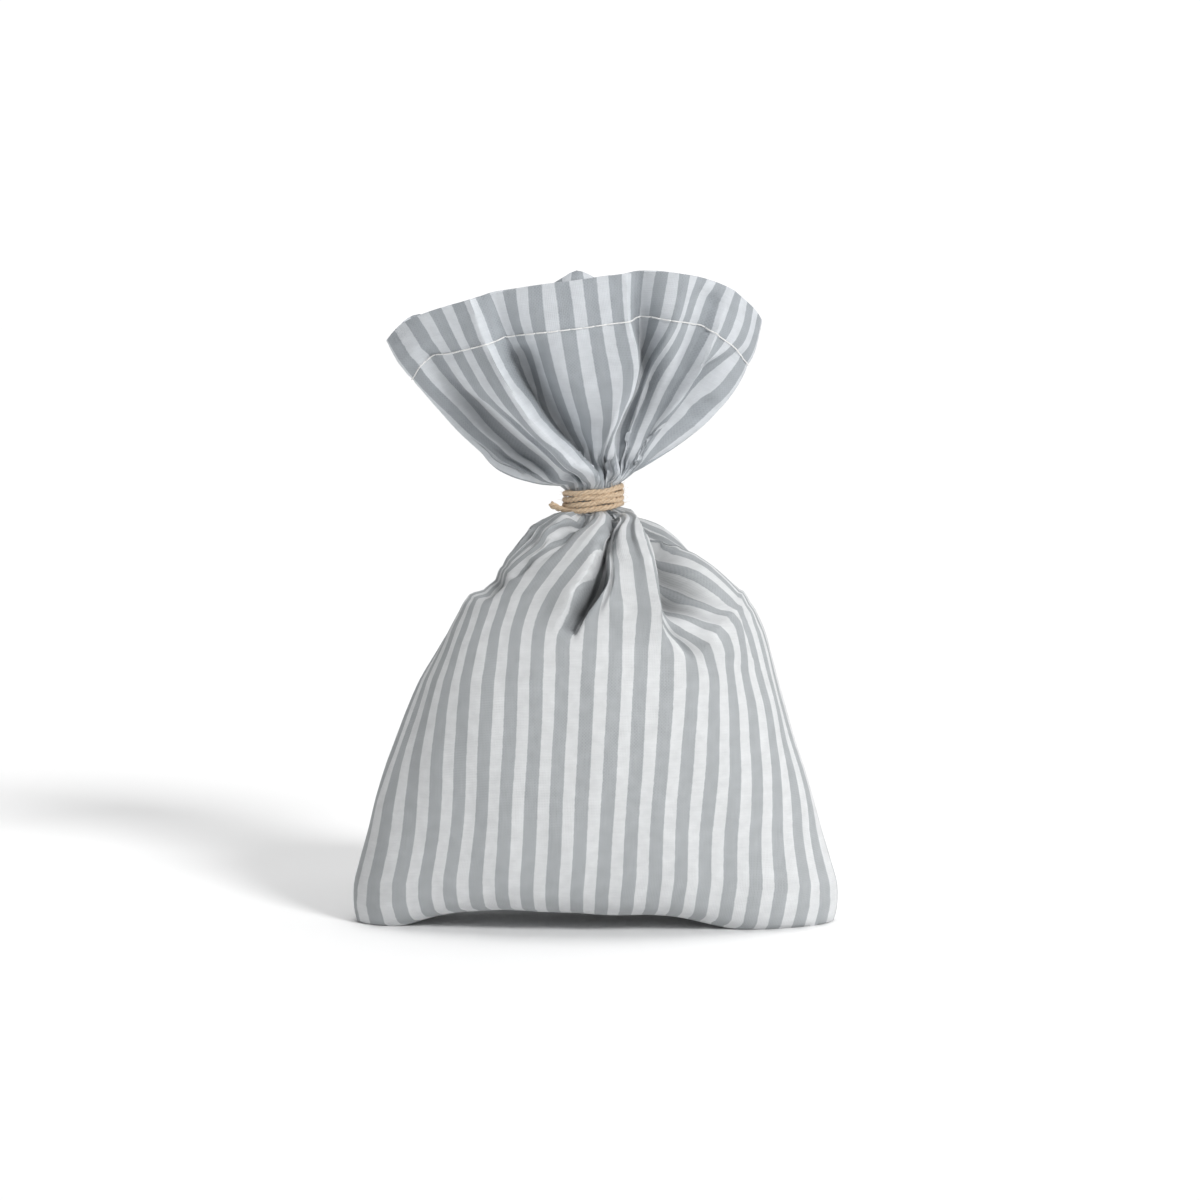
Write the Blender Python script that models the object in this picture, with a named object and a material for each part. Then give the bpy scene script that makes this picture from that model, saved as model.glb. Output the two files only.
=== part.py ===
"""Gathered cotton pouch: filled, standing on its two lower corners and tied round its neck with jute twine.

The cloth is one tube of striped cotton, folded at the bottom and open at the top. Every row of the mesh is
one round of the tube and every column is one thread line that runs up it, so the columns follow the stripes.
Lengths are in millimetres up to the last step, which makes the meshes in metres. X is the pouch's width, -Y is
its front and Z is up, from the surface that it stands on.
"""

import math
from collections import namedtuple

import bmesh
import bpy
import numpy as np

MM = 0.001

# Driving dimensions of the cloth
COLUMNS = 92  # thread lines round the tube, half of them on the front
SAMPLES = 720  # fine steps round one row, before the columns are spaced evenly along the cloth
CLOTH = 1.1  # thickness of the open mouth's wall
HEM = 1.6  # thickness of the turned and sewn edge
HEM_DEPTH = 11.0
THROAT = 0.2  # share of the flare, up from the tie, where the open mouth ends inside

# Driving dimensions of the tie
NECK_X = -0.55
NECK_RADIUS = 5.6
NECK_LOW = 96.9
NECK_HIGH = 103.6
NECK_TILT = 0.09  # the tie sits lower on its left
GAP = 0.3
TWINE_RADIUS = 0.69
TWINE_TURNS = 3.45
TWINE_PITCH = 1.45
TWINE_TAIL = 5.0
TWINE_LEAVES = 234.0  # degrees round the neck, from the right by the back, where the tail starts

# One row for each level of the filled body: how far it reaches left, right, forward and back of X = 0
Level = namedtuple("Level", "height left right front back")
BODY = [
    Level(3.6, -53.2, 53.0, 0.0, 0.0),
    Level(3.7, -54.8, 54.4, 8.0, 8.0),
    Level(4.8, -56.3, 56.2, 14.0, 13.6),
    Level(7.6, -57.4, 57.4, 18.6, 18.2),
    Level(11.5, -57.4, 57.4, 21.4, 21.0),
    Level(16.5, -55.9, 55.6, 23.6, 23.2),
    Level(23.0, -53.8, 53.2, 25.4, 25.0),
    Level(30.0, -51.8, 51.2, 26.4, 26.2),
    Level(37.0, -49.4, 49.3, 26.8, 26.8),
    Level(44.0, -46.6, 47.1, 26.6, 26.4),
    Level(51.0, -43.8, 45.2, 25.8, 25.6),
    Level(57.5, -41.0, 43.3, 24.6, 24.4),
    Level(63.5, -37.7, 41.5, 23.0, 22.8),
    Level(69.0, -34.8, 39.7, 21.2, 21.0),
    Level(73.5, -32.2, 37.4, 19.6, 19.4),
    Level(77.5, -30.0, 34.6, 18.0, 17.8),
    Level(81.0, -26.2, 31.4, 16.4, 16.2),
    Level(84.5, -22.4, 28.2, 14.8, 14.6),
    Level(88.0, -19.4, 24.6, 13.2, 13.0),
    Level(91.0, -17.0, 21.2, 11.6, 11.4),
    Level(93.4, -14.8, 17.2, 10.0, 9.8),
    Level(95.2, -12.4, 12.2, 8.6, 8.4),
    Level(96.2, -9.0, 8.2, 7.2, 7.2),
]

# The underside's height along X: the pouch stands on its two lower corners and is drawn up between them.
# Below 0 the cloth is pressed flat on the surface.
Under = namedtuple("Under", "x height")
UNDERSIDE = [
    Under(-62.0, -2.5),
    Under(-50.0, -2.5),
    Under(-45.0, -0.6),
    Under(-40.0, 1.3),
    Under(-34.0, 2.9),
    Under(-28.0, 3.7),
    Under(-19.0, 4.0),
    Under(-8.0, 3.6),
    Under(4.0, 3.0),
    Under(13.0, 2.9),
    Under(19.0, 2.3),
    Under(25.0, 0.9),
    Under(30.0, -0.6),
    Under(36.0, -2.5),
    Under(62.0, -2.5),
]
UNDERSIDE_FADE = 8.0

# The mouth's edge, clockwise from the left seen from above: turn 0 is the left side, 1 the right side
Edge = namedtuple("Edge", "turn x y z")
MOUTH = [
    Edge(0.00, -49.2, 2.0, 137.0),
    Edge(0.12, -46.0, -4.5, 141.0),
    Edge(0.26, -34.0, -9.5, 146.0),
    Edge(0.40, -18.0, -13.5, 149.6),
    Edge(0.52, -3.0, -14.5, 151.9),
    Edge(0.62, 9.0, -13.0, 154.0),
    Edge(0.74, 21.5, -11.5, 153.6),
    Edge(0.86, 31.5, -7.0, 149.8),
    Edge(0.95, 37.0, -2.0, 144.6),
    Edge(1.02, 39.3, 3.5, 141.6),
    Edge(1.14, 33.0, 9.5, 145.6),
    Edge(1.32, 16.0, 12.5, 148.8),
    Edge(1.50, -4.5, 12.0, 150.0),
    Edge(1.66, -23.0, 11.0, 146.0),
    Edge(1.84, -40.0, 8.5, 140.6),
]
MOUTH_ROWS = 12
COLLAR = 6.0  # radius of the cloth where it leaves the tie
DEEPEN = 0.8  # the cloth reaches to the front and back before it climbs
CLIMB = 1.2

# How far the flare has opened to the left and right at each share of its climb from the tie to its edge
Opening = namedtuple("Opening", "climb left right")
OPENINGS = [
    Opening(0.00, 0.03, 0.00),
    Opening(0.02, 0.16, 0.04),
    Opening(0.05, 0.26, 0.10),
    Opening(0.11, 0.37, 0.21),
    Opening(0.23, 0.49, 0.43),
    Opening(0.35, 0.60, 0.60),
    Opening(0.50, 0.71, 0.75),
    Opening(0.65, 0.81, 0.86),
    Opening(0.82, 0.92, 0.95),
    Opening(1.00, 1.00, 1.00),
]
THROAT_DROP = 4.0  # the inside closes this far below the lowest round of its wall

# A fold is a ridge, or with a negative depth a trough. In the body it runs down from the tie to its low end;
# in the flare it runs up from the tie to the mouth. Its X is given at the tie, halfway and at its far end.
Fold = namedtuple("Fold", "face near middle far reach depth width lean peak")
FRONT, BACK = 1, -1
BODY_FOLDS = [
    Fold(FRONT, 1.4, -7.6, -15.0, 35.0, 4.2, 5.0, 0.60, 0.50),
    Fold(FRONT, 4.6, -0.4, -8.0, 28.5, -8.5, 2.8, 0.00, 0.70),
    Fold(FRONT, -1.6, -10.5, -25.0, 18.0, -3.6, 2.4, 0.00, 0.50),
    Fold(FRONT, -4.4, -13.5, -22.0, 15.0, 2.4, 3.4, 0.00, 0.50),
    Fold(FRONT, -7.0, -24.0, -32.0, 26.0, -3.4, 2.6, 0.00, 0.60),
    Fold(FRONT, 5.6, 9.4, 12.5, 35.0, 4.6, 3.8, 0.30, 0.40),
    Fold(FRONT, 6.6, 16.5, 24.0, 38.0, -7.0, 5.4, 0.00, 0.72),
    Fold(FRONT, 7.4, 25.0, 33.0, 34.0, 2.2, 4.0, 0.00, 0.50),
    Fold(FRONT, 8.0, 29.0, 38.0, 30.0, -2.6, 2.6, 0.00, 0.60),
    Fold(BACK, -7.0, -22.0, -31.0, 34.0, -4.4, 4.0, 0.00, 0.60),
    Fold(BACK, -4.5, -13.0, -19.0, 40.0, 3.8, 5.0, 0.30, 0.45),
    Fold(BACK, -1.6, -5.0, -9.0, 32.0, -7.0, 3.4, 0.00, 0.65),
    Fold(BACK, 1.2, 3.0, 4.5, 36.0, 3.6, 4.8, 0.20, 0.45),
    Fold(BACK, 3.6, 10.5, 15.0, 40.0, -7.0, 4.0, 0.00, 0.65),
    Fold(BACK, 5.6, 19.0, 26.0, 34.0, 3.4, 4.6, -0.20, 0.45),
    Fold(BACK, 7.4, 25.0, 35.0, 28.0, -3.6, 3.2, 0.00, 0.55),
]
FLARE_FOLDS = [
    Fold(FRONT, -5.4, -29.0, -42.0, 1.0, 1.8, 4.6, 0.20, 0.70),
    Fold(FRONT, -3.2, -24.5, -36.0, 1.0, -2.6, 3.4, 0.30, 0.45),
    Fold(FRONT, -0.6, -18.5, -29.5, 1.0, 3.4, 3.8, 0.40, 0.70),
    Fold(FRONT, -1.6, -14.5, -22.5, 1.0, -4.4, 4.4, 0.10, 0.60),
    Fold(FRONT, 0.2, -7.0, -12.0, 1.0, 1.4, 4.0, 0.10, 0.60),
    Fold(FRONT, 1.4, -2.0, -4.5, 1.0, -1.6, 3.6, 0.00, 0.50),
    Fold(FRONT, 3.4, 7.6, 5.2, 1.0, 4.8, 4.0, 0.60, 0.65),
    Fold(FRONT, 4.6, 11.6, 11.4, 1.0, -6.4, 3.8, 0.10, 0.60),
    Fold(FRONT, 5.2, 14.4, 20.5, 1.0, 3.2, 4.0, 0.20, 0.60),
    Fold(FRONT, 5.8, 17.4, 25.5, 1.0, -2.6, 3.4, 0.10, 0.55),
    Fold(FRONT, 6.4, 21.0, 31.0, 1.0, 2.2, 3.6, 0.00, 0.60),
    Fold(FRONT, 7.0, 25.0, 35.5, 1.0, -1.8, 3.2, 0.00, 0.50),
    Fold(BACK, -4.0, -22.0, -32.0, 1.0, -4.0, 5.2, 0.20, 0.60),
    Fold(BACK, -1.6, -9.0, -15.0, 1.0, 3.4, 5.0, 0.20, 0.60),
    Fold(BACK, 0.6, -1.0, -3.5, 1.0, -4.6, 4.4, 0.00, 0.55),
    Fold(BACK, 3.0, 8.0, 10.0, 1.0, 3.6, 5.0, 0.10, 0.60),
    Fold(BACK, 5.4, 17.0, 22.0, 1.0, -4.2, 4.6, 0.20, 0.60),
]

# The tie draws the cloth round the neck unevenly. A share of the cloth's width, 0 to 1 on the front and 1 to 2 on
# the back, lies at this turn round the neck.
Gather = namedtuple("Gather", "cloth below above")
GATHERS = [
    Gather(0.00, 0.02, 0.00),
    Gather(0.12, 0.28, 0.20),
    Gather(0.28, 0.58, 0.56),
    Gather(0.44, 0.82, 0.68),
    Gather(0.58, 0.91, 0.75),
    Gather(0.78, 0.99, 0.88),
    Gather(1.00, 1.08, 1.03),
    Gather(1.50, 1.54, 1.50),
]
GATHER_REACH = 2.4  # how fast the cloth goes back to lying evenly, away from the tie

# The many small pleats beside the tie: how many lie round the neck, how deep and where each set starts
Pleats = namedtuple("Pleats", "count depth start")
PLEATS = [Pleats(19, 0.42, 0.10), Pleats(13, 0.34, 0.47), Pleats(26, 0.16, 0.83)]
PLEAT_REACH = 13.0

COTTON = (0.62, 0.65, 0.67, 1.0)
JUTE = (0.55, 0.38, 0.22, 1.0)

TURN = np.linspace(0.0, 2.0, SAMPLES, endpoint=False)


def smooth(value):
    """0 below 0, 1 above 1 and an even S between."""
    share = np.clip(value, 0.0, 1.0)
    return share * share * (3.0 - 2.0 * share)


def curve_through(knots, values, places):
    """The values at these places on a smooth curve through one value at each knot."""
    knots, values = np.array(knots), np.array(values)
    slopes = np.gradient(values, knots)
    start = np.clip(np.searchsorted(knots, places, side="right") - 1, 0, len(knots) - 2)
    step = knots[start + 1] - knots[start]
    part = (places - knots[start]) / step
    rise = part * part * (3.0 - 2.0 * part)
    ease = part * (1.0 - part)
    level = values[start] * (1.0 - rise) + values[start + 1] * rise
    return level + step * ease * (slopes[start] * (1.0 - part) - slopes[start + 1] * part)


def mouth_edge():
    """The mouth's edge as points at TURN."""
    rows = [MOUTH[-1], *MOUTH, MOUTH[0], MOUTH[1]]
    turns = [edge.turn for edge in rows]
    turns[0] -= 2.0
    turns[-2] += 2.0
    turns[-1] += 2.0
    return np.stack([curve_through(turns, [getattr(e, name) for e in rows], TURN) for name in "xyz"], axis=1)


def oval(level):
    """One round of the filled body as points at TURN, before its folds."""
    middle = (level.left + level.right) / 2
    half = (level.right - level.left) / 2
    across = -np.cos(math.pi * TURN)
    depth = np.sin(math.pi * TURN)
    y = np.where(depth >= 0.0, -level.front * depth, -level.back * depth)
    return np.stack([middle + half * across, y, np.full(SAMPLES, level.height)], axis=1)


def lengths_round(points):
    """The distance along the cloth from the left side to each point, and the whole way round."""
    steps = np.linalg.norm(np.roll(points, -1, axis=0) - points, axis=1)
    return np.concatenate([[0.0], np.cumsum(steps)[:-1]]), steps.sum()


def outward(points):
    """The level outward direction at each point of a round, and the direction along the cloth."""
    along = np.roll(points, -1, axis=0) - np.roll(points, 1, axis=0)
    along[:, 2] = 0.0
    along /= np.maximum(np.linalg.norm(along, axis=1, keepdims=True), 1e-9)
    return np.stack([along[:, 1], -along[:, 0], along[:, 2]], axis=1), along


def folded(points, folds, way):
    """The round with each fold's share added, where `way` gives how far along each fold this round lies."""
    distance, whole = lengths_round(points)
    out, along = outward(points)
    left, right = points[:, 0].min(), points[:, 0].max()
    moved = points.copy()
    for fold in folds:
        part = way(fold)
        if not 0.0 <= part < 1.0:
            continue
        x = fold.near * (1 - part) * (1 - 2 * part) + 4 * fold.middle * part * (1 - part)
        x += fold.far * part * (2 * part - 1)
        share = np.clip((2 * x - left - right) / (right - left), -0.97, 0.97)
        turn = math.acos(-share) / math.pi
        place = np.interp(turn if fold.face == FRONT else 2.0 - turn, TURN, distance)
        offset = (distance - place + whole / 2) % whole - whole / 2
        width = fold.width * (0.55 + 0.45 * smooth(part / 0.4))
        height = fold.depth * swell(part, fold)
        bump = height * np.exp(-((offset / width) ** 2))[:, None]
        moved += bump * out + fold.lean * np.abs(bump) * along
    return moved


def swell(part, fold):
    """How much of a fold's depth stands at this share of its length."""
    rise = smooth(part / fold.peak)
    fall = 1.0 - smooth((part - fold.peak) / (1.0 - fold.peak)) if fold.reach > 1.0 else 1.0
    return (0.12 + 0.88 * rise) * fall


def pleated(columns, from_tie):
    """The round with the small pleats that the tie presses into the cloth, each along its own thread lines."""
    size = min(1.0, 0.35 + from_tie / 5.0) * (1.0 - smooth(from_tie / PLEAT_REACH))
    share = np.arange(COLUMNS) / COLUMNS
    wave = sum(p.depth * np.sin(2 * math.pi * (p.count * share + p.start)) for p in PLEATS)
    out, _ = outward(columns)
    return columns + size * wave[:, None] * out


def columns_of(points, from_tie, side):
    """COLUMNS points of a round, spaced evenly along the cloth but for where the tie draws it together."""
    distance, whole = lengths_round(points)
    middle = distance[SAMPLES // 2]
    share = np.arange(COLUMNS) * 2.0 / COLUMNS
    knots = [g.cloth for g in GATHERS]
    places = [getattr(g, side) for g in GATHERS]
    knots = [knots[-1] - 2.0, *knots, knots[0] + 2.0, knots[1] + 2.0]
    places = [places[-1] - 2.0, *places, places[0] + 2.0, places[1] + 2.0]
    drawn = curve_through(knots, places, share)
    even = share + (drawn - share) * math.exp(-from_tie / GATHER_REACH)
    along = np.where(even < 1.0, middle * even, middle + (whole - middle) * (even - 1.0))
    return np.stack([np.interp(along, distance, points[:, axis], period=whole) for axis in range(3)], axis=1)


def tilted(points):
    """The round leaned with the tie, which fades out above and below it."""
    middle = (NECK_LOW + NECK_HIGH) / 2
    near = np.exp(-(((points[:, 2] - middle) / 8.0) ** 2))
    lean = np.clip(points[:, 0] - NECK_X, -12.0, 12.0) * NECK_TILT
    return points + np.stack([0 * lean, 0 * lean, lean * near], axis=1)


def on_surface(points):
    """The round with the underside's own height: drawn up in the middle and flat at the two corners."""
    lowest = BODY[0].height
    wanted = curve_through([u.x for u in UNDERSIDE], [u.height for u in UNDERSIDE], points[:, 0])
    fade = np.exp(-np.maximum(points[:, 2] - lowest, 0.0) / UNDERSIDE_FADE)
    low = points.copy()
    low[:, 2] = np.maximum(points[:, 2] - (lowest - wanted) * fade, 0.0)
    return low


def body_round(level):
    """One round of the filled body."""
    from_tie = NECK_LOW - level.height
    points = oval(level)
    if level.front > 0.0:
        points = folded(points, BODY_FOLDS, lambda fold: from_tie / fold.reach)
    columns = columns_of(points, from_tie, "below")
    return tilted(on_surface(pleated(columns, from_tie)))


def neck_round(height):
    """One round of the gathered neck, inside the tie."""
    level = Level(height, NECK_X - NECK_RADIUS, NECK_X + NECK_RADIUS, NECK_RADIUS, NECK_RADIUS)
    side = "below" if height < (NECK_LOW + NECK_HIGH) / 2 else "above"
    return tilted(columns_of(oval(level), 0.0, side))


def flare_round(part):
    """One round of the open flare, from 0 at the tie to 1 at the mouth's edge."""
    start = oval(Level(NECK_HIGH, NECK_X - COLLAR, NECK_X + COLLAR, COLLAR, COLLAR))
    climb = part**CLIMB
    climbs = [opening.climb for opening in OPENINGS]
    left = np.interp(climb, climbs, [opening.left for opening in OPENINGS])
    right = np.interp(climb, climbs, [opening.right for opening in OPENINGS])
    across = left + (right - left) * (1.0 - np.cos(math.pi * TURN)) / 2
    share = np.stack([across, np.full(SAMPLES, climb**DEEPEN), np.full(SAMPLES, climb)], axis=1)
    reach = (mouth_edge() - start) * share
    points = folded(start + reach, FLARE_FOLDS, lambda fold: min(part, 0.999))
    bent = points - start
    bent *= np.linalg.norm(reach, axis=1, keepdims=True) / np.linalg.norm(bent, axis=1, keepdims=True)
    from_tie = (start + bent)[:, 2].mean() - NECK_HIGH
    return tilted(pleated(columns_of(start + bent, from_tie, "above"), from_tie))


def outward_normals(rows):
    """The direction out of the cloth at each point of these rounds."""
    grid = np.array(rows)
    along = np.roll(grid, -1, axis=1) - np.roll(grid, 1, axis=1)
    up = np.gradient(grid, axis=0)
    normal = np.cross(along, up)
    normal /= np.linalg.norm(normal, axis=2, keepdims=True)
    return normal


def mouth_lining(parts, rows):
    """The inner face of the flare, from its edge down to the throat, with the hem's step."""
    normal = outward_normals(rows)
    edge = rows[-1]
    below = []
    for index in range(len(rows) - 1, -1, -1):
        if parts[index] < THROAT:
            break
        depth = np.linalg.norm(edge - rows[index], axis=1).mean()
        wall = HEM if depth <= HEM_DEPTH else CLOTH
        below.append(rows[index] - wall * normal[index])
    return below


def cloth_rows():
    """Every round of the cloth's surface, from the bottom fold up, over the mouth's edge and down inside."""
    rows = [body_round(level) for level in BODY]
    rows += [neck_round(height) for height in np.linspace(NECK_LOW, NECK_HIGH, 3)]
    parts = np.linspace(0.0, 1.0, MOUTH_ROWS + 1)[1:]
    flare = [flare_round(part) for part in parts]
    lining = mouth_lining(parts, flare)
    return rows + flare + lining


def mesh_object(name, vertices, faces, colour, roughness):
    """A named object with its own material, made from millimetres."""
    mesh = bpy.data.meshes.new(name)
    mesh.from_pydata([tuple(MM * value for value in vertex) for vertex in vertices], [], faces)
    finish = bpy.data.materials.new(name)
    finish.use_nodes = True
    shader = finish.node_tree.nodes["Principled BSDF"]
    shader.inputs["Base Color"].default_value = colour
    shader.inputs["Roughness"].default_value = roughness
    shader.inputs["Metallic"].default_value = 0.0
    mesh.materials.append(finish)
    return bpy.data.objects.new(name, mesh)


def settle(made, sharp_degrees):
    """Faces out, smooth shading, and the object in the pouch's own collection."""
    shape = bmesh.new()
    shape.from_mesh(made.data)
    bmesh.ops.remove_doubles(shape, verts=shape.verts, dist=1e-6)
    bmesh.ops.recalc_face_normals(shape, faces=shape.faces)
    shape.to_mesh(made.data)
    shape.free()
    made.data.shade_smooth()
    made.data.set_sharp_from_angle(angle=math.radians(sharp_degrees))
    bpy.data.collections["pouch"].objects.link(made)


def make_pouch():
    """The pouch's cloth: a filled body, a solid gathered neck and an open flare, in one piece."""
    rows = cloth_rows()
    half = COLUMNS // 2
    fold = rows[0].copy()
    fold[:, 1] = 0.0
    fold[half + 1 :] = fold[1:half][::-1]
    rows[0] = fold
    throat = rows[-1].mean(axis=0) - np.array([0.0, 0.0, THROAT_DROP])
    vertices = [point for row in rows for point in row] + [throat]
    faces = []
    for row in range(len(rows) - 1):
        for column in range(COLUMNS):
            after = (column + 1) % COLUMNS
            low, high = row * COLUMNS, (row + 1) * COLUMNS
            faces.append((low + column, low + after, high + after, high + column))
    last = (len(rows) - 1) * COLUMNS
    for column in range(COLUMNS):
        faces.append((last + column, last + (column + 1) % COLUMNS, len(vertices) - 1))
    settle(mesh_object("pouch", vertices, faces, COTTON, 0.9), 60.0)


def twine_route():
    """The twine's line: from its hidden end behind the neck, down in turns, to the free tail at the left."""
    radius = NECK_RADIUS + GAP + TWINE_RADIUS
    leave = math.radians(TWINE_LEAVES)
    total = 2 * math.pi * TWINE_TURNS
    top = NECK_HIGH - TWINE_RADIUS - GAP / 2
    points = []
    for step in range(int(TWINE_TURNS * 48) + 1):
        turned = total * step / int(TWINE_TURNS * 48)
        angle = leave + total - turned
        x, y = radius * math.cos(angle), radius * math.sin(angle)
        z = top - TWINE_PITCH * turned / (2 * math.pi)
        points.append(np.array([NECK_X + x, y, z]))
    heading = points[-1] - points[-2]
    heading /= np.linalg.norm(heading)
    sag = np.array([0.0, -0.1, 0.05])
    start = points[-1]
    for step in range(1, 7):
        reach = TWINE_TAIL * step / 6
        points.append(start + heading * reach + sag * reach * step / 6)
    return tilted(np.array(points))


def make_twine():
    """The tie: two plies laid round each other, wound round the neck with one short tail."""
    route = twine_route()
    sides = 8
    vertices = []
    for index, point in enumerate(route):
        ahead = route[min(index + 1, len(route) - 1)] - route[max(index - 1, 0)]
        ahead /= np.linalg.norm(ahead)
        side = np.cross(ahead, (0.0, 0.0, 1.0))
        side /= np.linalg.norm(side)
        up = np.cross(side, ahead)
        for corner in range(sides):
            angle = 2 * math.pi * corner / sides
            lay = angle - index * 2 * math.pi / sides
            radius = TWINE_RADIUS * (0.93 + 0.07 * math.cos(2 * lay))
            vertices.append(point + radius * (math.cos(angle) * side + math.sin(angle) * up))
    faces = []
    for index in range(len(route) - 1):
        for corner in range(sides):
            after = (corner + 1) % sides
            low, high = index * sides, (index + 1) * sides
            faces.append((low + corner, low + after, high + after, high + corner))
    faces.append(tuple(range(sides)))
    faces.append(tuple(range(len(vertices) - sides, len(vertices))))
    settle(mesh_object("twine", vertices, faces, JUTE, 0.95), 70.0)


for old in list(bpy.data.objects):
    bpy.data.objects.remove(old, do_unlink=True)
bpy.context.scene.collection.children.link(bpy.data.collections.new("pouch"))
make_pouch()
make_twine()
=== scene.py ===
import math
from collections import namedtuple

import bpy
import numpy as np
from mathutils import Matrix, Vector


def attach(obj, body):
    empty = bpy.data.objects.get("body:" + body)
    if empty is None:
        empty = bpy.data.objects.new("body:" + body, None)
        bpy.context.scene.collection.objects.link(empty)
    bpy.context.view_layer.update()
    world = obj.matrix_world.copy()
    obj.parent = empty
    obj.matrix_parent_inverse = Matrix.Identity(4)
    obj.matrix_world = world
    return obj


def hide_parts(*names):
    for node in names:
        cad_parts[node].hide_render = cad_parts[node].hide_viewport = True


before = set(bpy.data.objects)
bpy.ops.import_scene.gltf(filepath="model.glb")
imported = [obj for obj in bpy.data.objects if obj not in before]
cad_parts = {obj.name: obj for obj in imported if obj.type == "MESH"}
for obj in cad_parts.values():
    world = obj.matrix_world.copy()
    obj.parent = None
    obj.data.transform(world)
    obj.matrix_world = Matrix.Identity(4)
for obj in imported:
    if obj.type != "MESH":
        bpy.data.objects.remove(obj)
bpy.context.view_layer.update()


# Camera
# A long lens a little above the middle of the pouch, looking straight at its front.

VIEW_ABOVE = math.radians(6.0)
VIEW_FAR = 0.783
LOOKS_AT = Vector((0.00106, 0.0, 0.0764))

bpy.ops.object.select_all(action="DESELECT")
away = Vector((0.0, -math.cos(VIEW_ABOVE), math.sin(VIEW_ABOVE)))
bpy.ops.object.camera_add(location=LOOKS_AT + VIEW_FAR * away)
camera = bpy.context.object
camera.name = "camera"
camera.rotation_euler = (-away).to_track_quat("-Z", "Y").to_euler()
camera.data.lens = 100.0
camera.data.sensor_width = 36.0
camera.data.clip_start = 0.05
camera.data.clip_end = 30.0
bpy.context.scene.camera = camera


# Pouch cloth
# One tube of plain-woven striped cotton, 128 mm wide when flat and 185 mm long, seamed at both sides and folded
# at the bottom. It is filled, stands on its two lower corners and is gathered by the tie into an open mouth. The
# flat cloth is wrapped on the pouch's rounds, drawn together at the tie and folded, one fold at a time.

FLAT_WIDE = 128.0
CLOTH_THICK = 0.5
HEM_THICK = 1.0
HEM_DEEP = 11.0
NECK_THICK = 4.6
NECK_X = -0.55
NECK_RADIUS = 5.55
NECK_LOW = 96.9
NECK_HIGH = 103.6
NECK_TILT = 0.09
TILT_REACHES = 12.0
TILT_FADES = 8.0
UNDERSIDE_FADES = 8.0
FRONT_THREADS = 200
BACK_THREADS = 64
BODY_ROUNDS = 112
NECK_ROUNDS = 4
MOUTH_ROUNDS = 66
STRIPES = 6.2
STRIPE_START = 3.8
SAMPLES = 1440
FRONT_GREYS = 20
MOUTH_GREYS = 18

# Each level of the filled body: how far it reaches left, right, forward and back
Level = namedtuple("Level", "height left right front back")
BODY = [
    Level(3.6, -53.2, 53.0, 0.0, 0.0),
    Level(3.7, -54.8, 54.4, 8.0, 8.0),
    Level(4.8, -56.3, 56.2, 14.0, 13.6),
    Level(7.6, -57.4, 57.4, 18.6, 18.2),
    Level(11.5, -57.4, 57.4, 21.4, 21.0),
    Level(16.5, -55.9, 55.6, 23.6, 23.2),
    Level(23.0, -53.8, 53.2, 25.4, 25.0),
    Level(30.0, -51.8, 51.2, 26.4, 26.2),
    Level(37.0, -49.4, 49.3, 26.8, 26.8),
    Level(44.0, -46.6, 47.1, 26.6, 26.4),
    Level(51.0, -43.8, 45.2, 25.8, 25.6),
    Level(57.5, -41.0, 43.3, 24.6, 24.4),
    Level(63.5, -37.7, 41.5, 23.0, 22.8),
    Level(69.0, -34.8, 39.7, 21.2, 21.0),
    Level(73.5, -32.2, 37.4, 19.6, 19.4),
    Level(77.5, -30.0, 34.6, 18.0, 17.8),
    Level(81.0, -26.2, 31.4, 16.4, 16.2),
    Level(84.5, -22.4, 28.2, 14.8, 14.6),
    Level(88.0, -19.4, 24.6, 13.2, 13.0),
    Level(91.0, -17.0, 21.2, 11.6, 11.4),
    Level(93.4, -14.8, 17.2, 10.0, 9.8),
    Level(95.2, -12.4, 12.2, 8.6, 8.4),
    Level(96.2, -9.0, 8.2, 7.2, 7.2),
]

# The underside along X: down on the surface at both corners and drawn up between them
Under = namedtuple("Under", "x height")
UNDERSIDE = [
    Under(-62.0, -2.5), Under(-50.0, -2.5), Under(-45.0, -0.6), Under(-40.0, 1.3), Under(-34.0, 2.9),
    Under(-28.0, 3.7), Under(-19.0, 4.0), Under(-8.0, 3.6), Under(4.0, 3.0), Under(13.0, 2.9),
    Under(19.0, 2.3), Under(25.0, 0.9), Under(30.0, -0.6), Under(36.0, -2.5), Under(62.0, -2.5),
]

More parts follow.
